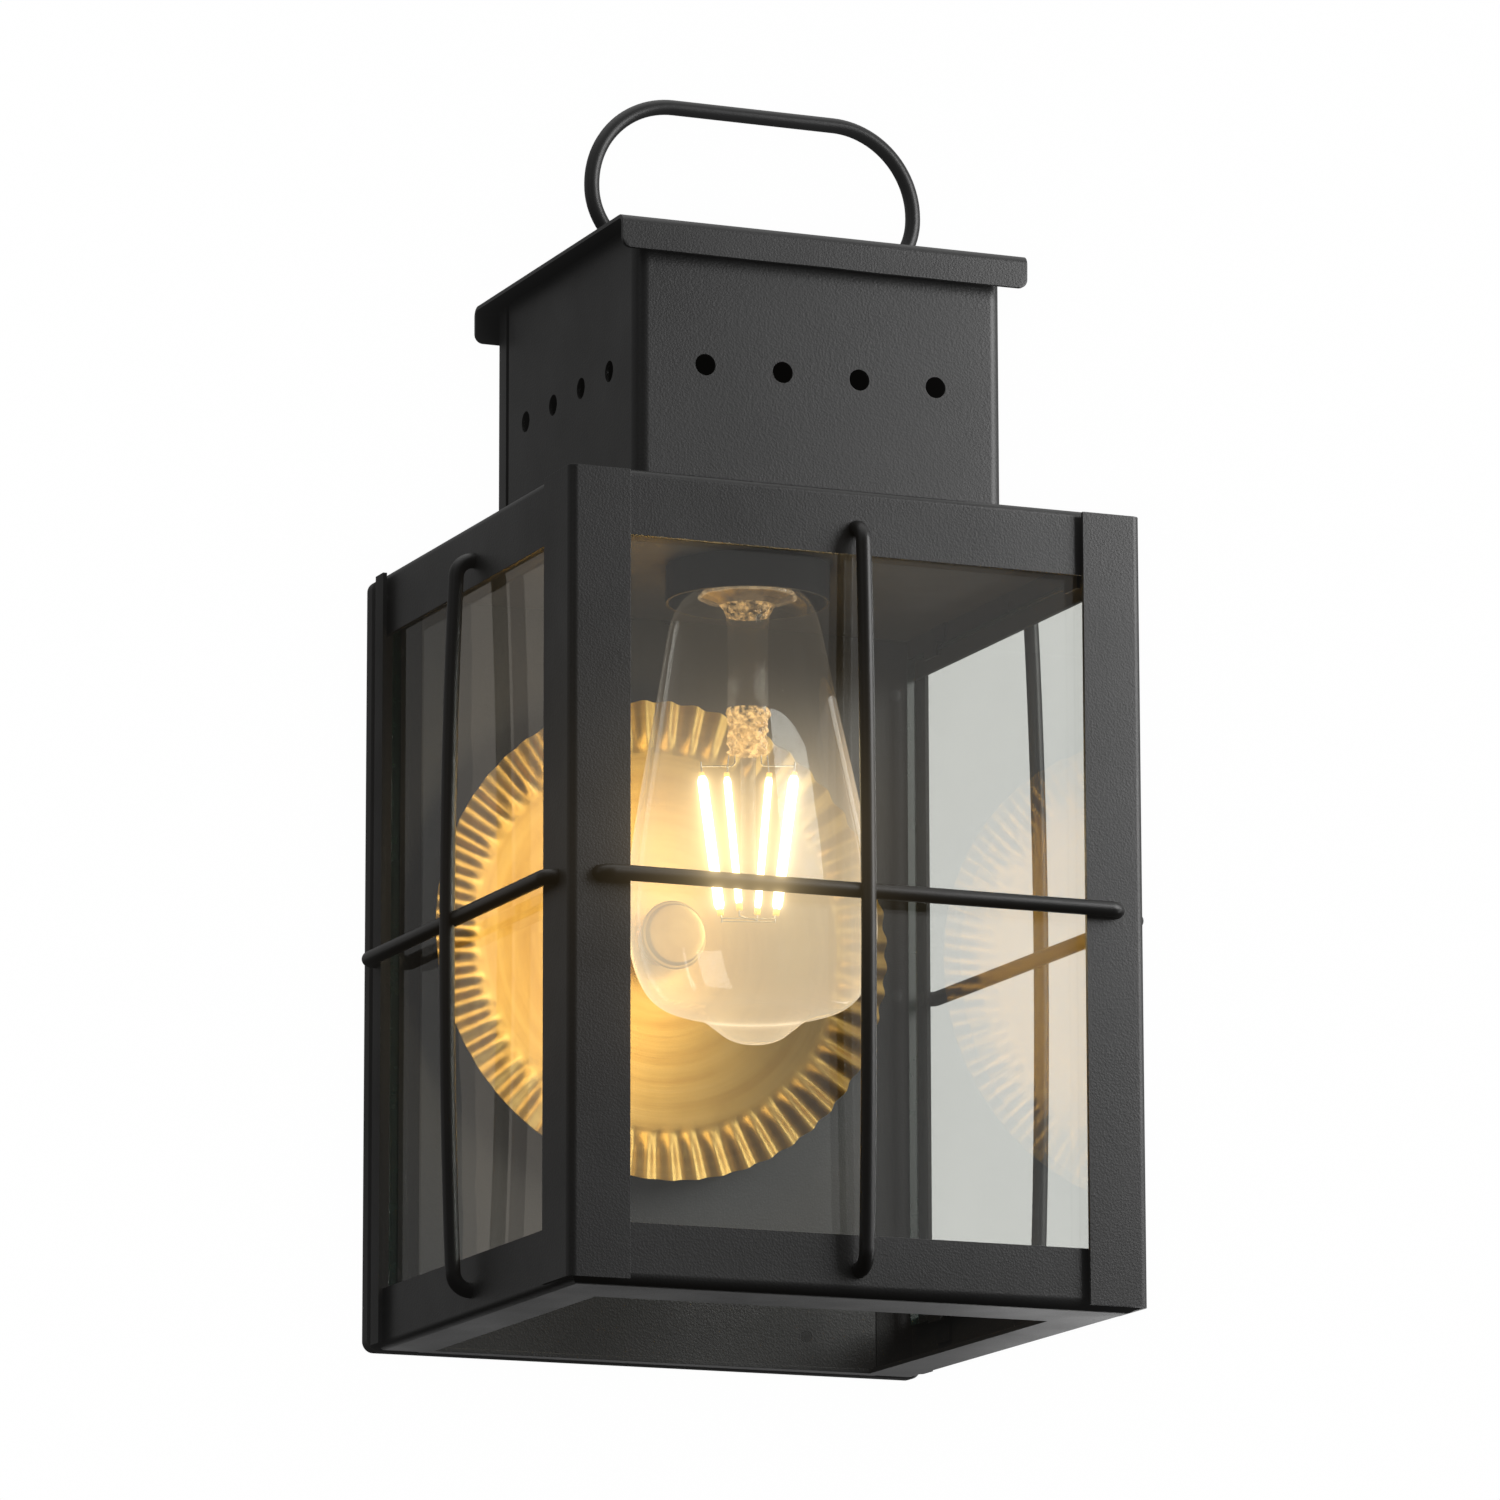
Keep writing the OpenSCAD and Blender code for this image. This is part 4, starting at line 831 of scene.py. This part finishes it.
def rod(bm, a, b, r, steps=16, caps=True, mat=0, levels_=1, ends=None):
    a, b = fan(*a), fan(*b)
    A, B = pt(a[0], a[1], a[2] + LAMP_UP), pt(b[0], b[1], b[2] + LAMP_UP)
    d = (B - A).normalized()
    s = d.orthogonal().normalized()
    o = d.cross(s)
    rings = []
    n = max(1, levels_)
    for i in range(n + 1):
        u = i / n
        rr = r / 1000 * (1.0 if ends is None else ends(u))
        c = A.lerp(B, u)
        rings.append([bm.verts.new(c + (s * math.cos(2 * math.pi * k / steps) + o * math.sin(2 * math.pi * k / steps)) * rr) for k in range(steps)])
    fs = []
    for p, q in zip(rings, rings[1:]):
        for k in range(steps):
            k2 = (k + 1) % steps
            fs.append(bm.faces.new((p[k], p[k2], q[k2], q[k])))
    if caps:
        fs.append(bm.faces.new(list(reversed(rings[0]))))
        fs.append(bm.faces.new(rings[-1]))
    for f in fs:
        f.material_index = mat


def tip(u):
    return 0.62 + 0.38 * min(1.0, u / 0.03, (1 - u) / 0.03)


bm = bmesh.new()
for k in range(4):
    lo, hi = Vector(LO[k]), Vector(HI[k])
    rod(bm, lo, hi, 1.35 if k in (0, 3) else 0.95, 20, levels_=60, ends=tip)
    # the uncovered ends, with a painted warm glow standing in for the strips' light on them
    rod(bm, lo.lerp(hi, -0.045), lo.lerp(hi, 0.004), 0.85, 16, mat=1, levels_=4)
    rod(bm, lo.lerp(hi, 0.996), lo.lerp(hi, 1.030), 0.75, 16, mat=1, levels_=4)
bmesh.ops.recalc_face_normals(bm, faces=bm.faces)
strips = add("bulb_filament_strips", bm, [GLOW, FILAMENT_END_PAINTED_GLOW], body="bulb", replaces=("bulb_filaments",), weighted=False)


strips.visible_glossy = False  # their mirror images come from the soft sources


# the strips' light on the lamp, from soft warm sources that move with them
def inside_light(name, energy, colour, radius):
    glow = bpy.data.lights.new(name, "POINT")
    glow.energy = energy
    glow.color = colour
    glow.shadow_soft_size = radius
    ob = bpy.data.objects.new(name, glow)
    SC.collection.objects.link(ob)
    ob.location = pt(0, MY, 127 + LAMP_UP)
    ob.visible_camera = False
    ob.parent = strips
    return ob


glow_soft = inside_light("filament_light", 0.080, (1.0, 0.72, 0.38), 0.020)
glow_soft.visible_glossy = False
glow_shine = inside_light("filament_shine", 0.245, (1.0, 0.81, 0.47), 0.034)
glow_shine.visible_diffuse = False
glow_shine.visible_transmission = False

bm = bmesh.new()
W = 0.2
for s in (-1, 1):
    rod(bm, (s * 3.4, 0, 150.6), (s * 3.5, 0, 148.2), W, 10)
    rod(bm, (s * 3.5, 0, 148.2), (s * 4.1, 0, 147.65), W, 10)
    rod(bm, (s * 4.1, 0, 147.65), (s * 12.5, 0, 147.55), W, 10)
    rod(bm, (s * 12.3, 0, 148.8), (s * 12.0, 0, 145.4), W * 1.2, 10)
    rod(bm, (s * 5.0, 0.7, 150.6), (s * 5.3, 0.9, 148.0), W, 10)
    rod(bm, (s * 5.3, 0.9, 148.0), (s * 5.4, 0.9, 145.4), W, 10)
    rod(bm, (s * 7.4, 0, 109.2), (s * 6.9, 0, 106.9), W, 10)
    rod(bm, (s * 2.4, s * 3.3, 110.2), (s * 2.3, s * 3.2, 107.2), W, 10)
    rod(bm, (s * 2.3, s * 3.2, 107.3), (s * 0.3, s * 0.4, 107.2), W, 10)
rod(bm, (-7.1, 0, 107.3), (7.3, 0, 107.1), W, 10)
rod(bm, (-7.3, 0, 106.5), (7.1, 0, 106.3), W * 0.8, 10)
rod(bm, (-6.9, 0, 107.4), (-6.9, 0, 106.2), W, 10)
rod(bm, (6.9, 0, 107.4), (6.9, 0, 106.0), W, 10)
bmesh.ops.recalc_face_normals(bm, faces=bm.faces)
add("bulb_support_wires", bm, NICKEL_WIRE, body="bulb", replaces=("bulb_wires",), angle=40)

# screw cap with its rolled thread
bm = bmesh.new()
steps, turns, pitch, r_out = 96, 4.4, 3.63, 13.0
z_lo, z_hi = 198.6, 217.0
rows = []
lev = 92
for i in range(lev + 1):
    z = z_lo + (z_hi - z_lo) * i / lev
    row = []
    for k in range(steps):
        a = 2 * math.pi * k / steps
        ph = (z - 199.6) / pitch - a / (2 * math.pi)
        amp = min(1.0, max(0.0, (z - 199.4) / 1.2), 1.0) * min(1.0, max(0.0, (215.6 - z) / 1.2))
        r = 12.95 - 0.62 * amp * (0.5 - 0.5 * math.cos(2 * math.pi * ph))
        row.append(bm.verts.new(about_z(r, z, a)))
    rows.append(row)
top = [(12.3, 217.35), (11.5, 217.6), (10.5, 217.6), (10.5, 217.0), (12.0, 216.4), (12.0, 198.6)]
for r, z in top:
    rows.append([bm.verts.new(about_z(r, z, 2 * math.pi * k / steps)) for k in range(steps)])
for a, b in zip(rows, rows[1:] + [rows[0]]):
    for k in range(steps):
        k2 = (k + 1) % steps
        bm.faces.new((a[k], a[k2], b[k2], b[k]))
bmesh.ops.recalc_face_normals(bm, faces=bm.faces)
add("bulb_screw_cap", bm, NICKEL, body="bulb", replaces=("bulb_cap",), angle=45)


# ------------------------------------------------------------------ carried-over nodes
def paint(names, mat):
    for n in names:
        o = NODES[n]
        o.data.materials.clear()
        o.data.materials.append(mat)


paint(["wall_strap", "strap_studs", "stud_washers", "stud_nuts", "reflector_stud", "holder_nipple", "holder_locknut", "lampholder_screws"], ZINC)
paint(["cap_rivets", "saddle_rivets", "glass_clips", "body_rivets", "chimney_rivets", "chimney_screws"], BLACK_WIRE)
paint(["reflector_spacer", "reflector_washer"], BRASS_NUT)
paint(["lampholder_body"], PHENOLIC)
paint(["lampholder_shell", "lampholder_contact"], SHELL)
paint(["lead_live"], LEAD_B)
paint(["lead_neutral"], LEAD_W)
paint(["lead_bushings"], RUBBER)
paint(["bulb_insulator"], BLACK_GLASS)
paint(["bulb_tip"], SOLDER)
paint(["bulb_driver"], BOARD)
paint(["earth_screw"], GREEN)

# ------------------------------------------------------------------ floor, world and lights
floor_me = bpy.data.meshes.new("floor")
bm = bmesh.new()
bmesh.ops.create_grid(bm, x_segments=4, y_segments=4, size=9.0)
bm.to_mesh(floor_me)
bm.free()
floor_mat, tf, bf, of_ = material("floor", base=(0.86, 0.86, 0.85), rough=0.8, spec=0.2)
tf.put(bf.inputs["Base Color"], tf.ramp(tf.noise(tf.object(), 3, 3), [(0.3, (0.85, 0.85, 0.845, 1)), (0.7, (0.89, 0.89, 0.885, 1))]))
floor_me.materials.append(floor_mat)
floor = bpy.data.objects.new("floor", floor_me)
floor.location = (0, 0, -2.75)
floor.visible_diffuse = False
floor.visible_glossy = False
SC.collection.objects.link(floor)

world = bpy.data.worlds.new("studio")
SC.world = world
world.use_nodes = True
tw = Tree(world.node_tree)
ow = tw.n("ShaderNodeOutputWorld")
d = tw.n("ShaderNodeTexCoord").outputs["Generated"]


def lobe(direction, a, b, lo_, hi_):
    v = Vector(direction).normalized()
    dot = tw.n("ShaderNodeVectorMath", operation="DOT_PRODUCT")
    tw.link(d, dot.inputs[0])
    dot.inputs[1].default_value = v
    return tw.map(dot.outputs["Value"], a, b, lo_, hi_, smooth=True)


e = tw.math("ADD", lobe((0.75, -0.64, 0.20), 0.40, 0.98, 0.025, 0.18), lobe((0.0, 0.0, 1.0), 0.1, 1.0, 0.0, 0.30))
e = tw.math("ADD", e, lobe((0.80, 0.60, 0.05), 0.60, 1.0, 0.0, 0.36))
e = tw.math("ADD", e, lobe((-0.40, 0.90, 0.25), 0.75, 1.0, 0.0, 0.165))
e = tw.math("ADD", e, lobe((-1.0, 0.25, 0.10), 0.86, 1.0, 0.0, 0.25))
e = tw.math("ADD", e, lobe((0.0, 0.0, 1.0), 0.60, 1.0, 0.0, 0.9))
e = tw.math("MULTIPLY", e, lobe((0.0, 0.0, 1.0), -0.17, 0.04, 0.03, 1.0))
light = tw.n("ShaderNodeBackground")
light.inputs["Color"].default_value = (1.0, 1.0, 0.995, 1)
tw.link(e, light.inputs["Strength"])
white = tw.n("ShaderNodeBackground")
white.inputs["Color"].default_value = (0.975, 0.975, 0.975, 1)
path = tw.n("ShaderNodeLightPath")
mixw = tw.n("ShaderNodeMixShader")
tw.link(path.outputs["Is Camera Ray"], mixw.inputs["Fac"])
tw.link(light.outputs[0], mixw.inputs[1])
tw.link(white.outputs[0], mixw.inputs[2])
tw.link(mixw.outputs[0], ow.inputs["Surface"])


def softbox(name, place, target, size, power, colour=(1, 1, 1)):
    ld = bpy.data.lights.new(name, "AREA")
    ld.shape = "RECTANGLE"
    ld.size, ld.size_y = size
    ld.energy = power
    ld.color = colour
    o = bpy.data.objects.new(name, ld)
    SC.collection.objects.link(o)
    o.location = place
    o.rotation_mode = "QUATERNION"
    o.rotation_quaternion = (Vector(target) - Vector(place)).to_track_quat("-Z", "Y")
    return o


def leave_out(lamp, names):
    """The named pieces don't take this lamp's light."""
    group = bpy.data.collections.new(lamp.name + "_receivers")
    for n in names:
        group.objects.link(bpy.data.objects[n])
    for c in group.collection_objects:
        c.light_linking.link_state = "EXCLUDE"
    lamp.light_linking.receiver_collection = group


def only_for(lamp, names):
    """Only the named pieces take this lamp's light."""
    group = bpy.data.collections.new(lamp.name + "_receivers")
    for n in names:
        group.objects.link(bpy.data.objects[n])
    lamp.light_linking.receiver_collection = group


key = softbox("key_right", (0.46, -0.52, 0.24), (0.02, -0.10, 0.03), (0.34, 0.46), 3.3)
leave_out(key, ["reflector_crimped", "bulb_envelope"])
brass_key = softbox("key_brass", (0.56, -0.50, 0.16), (0.0, -0.02, 0.0), (0.24, 0.40), 1.3)
only_for(brass_key, ["reflector_crimped"])
pane_soft = softbox("pane_left_soft", (-0.27, 0.27, 0.09), (-0.08, -0.13, 0.0), (0.13, 0.42), 0.040, (1.0, 0.86, 0.70))
pane_soft.visible_camera = False
only_for(pane_soft, ["glass_left_pane"])
leave_out(softbox("strip_right", (0.85, -0.34, 0.02), (0.0, -0.10, 0.0), (0.07, 0.9), 1.7), ["bulb_envelope"])
leave_out(softbox("fill_left", (-1.0, -0.75, 0.5), (0, -0.08, 0.05), (0.5, 0.7), 0.30), ["bulb_envelope"])
only_for(softbox("bulb_window", (0.323, -0.709, 0.423), (0.0, -0.0735, 0.06), (0.60, 0.46), 6.0), ["bulb_envelope"])
only_for(softbox("bulb_rim", (0.72, 0.22, 0.26), (0.0, -0.0735, 0.04), (0.22, 0.60), 0.65), ["bulb_envelope"])
only_for(softbox("floor_light", (0.0, 0.0, 3.2), (0.0, 0.01, -2.75), (9.0, 9.0), 215.0), ["floor"])
front_soft = softbox("pane_front_soft", (0.36, -0.95, 0.06), (0.02, -0.147, -0.02), (0.55, 0.85), 0.28)
front_soft.visible_camera = False
only_for(front_soft, ["glass_front_pane"])
low = softbox("low_back_right", (0.32, 0.34, -0.22), (0.06, -0.05, -0.11), (0.10, 0.16), 0.075)
low.visible_camera = False
leave_out(low, ["cap_skin"])
under = softbox("low_back", (0.30, 0.80, -0.30), (0.0, -0.07, -0.112), (0.75, 0.36), 0.30)
under.visible_camera = False
only_for(under, ["bottom_frame_skin"])
leave_out(glow_shine, ["reflector_knob", "glass_front_pane", "glass_left_pane", "glass_right_pane", "bulb_envelope", "bulb_stem_glass"])

# ------------------------------------------------------------------ picture
SC.view_settings.view_transform = "Standard"
SC.use_nodes = True
ct = SC.node_tree
ct.nodes.clear()
rl = ct.nodes.new("CompositorNodeRLayers")
gl = ct.nodes.new("CompositorNodeGlare")
gl.glare_type = "BLOOM"
gl.quality = "HIGH"
gl.inputs["Threshold"].default_value = 1.0
gl.inputs["Smoothness"].default_value = 0.3
gl.inputs["Strength"].default_value = 0.36
gl.inputs["Size"].default_value = 0.35
near = ct.nodes.new("CompositorNodeGlare")
near.glare_type = "BLOOM"
near.quality = "HIGH"
near.inputs["Threshold"].default_value = 3.0
near.inputs["Smoothness"].default_value = 0.3
near.inputs["Strength"].default_value = 0.90
near.inputs["Size"].default_value = 0.16
co = ct.nodes.new("CompositorNodeComposite")
ct.links.new(rl.outputs["Image"], near.inputs["Image"])
ct.links.new(near.outputs["Image"], gl.inputs["Image"])
ct.links.new(gl.outputs["Image"], co.inputs["Image"])
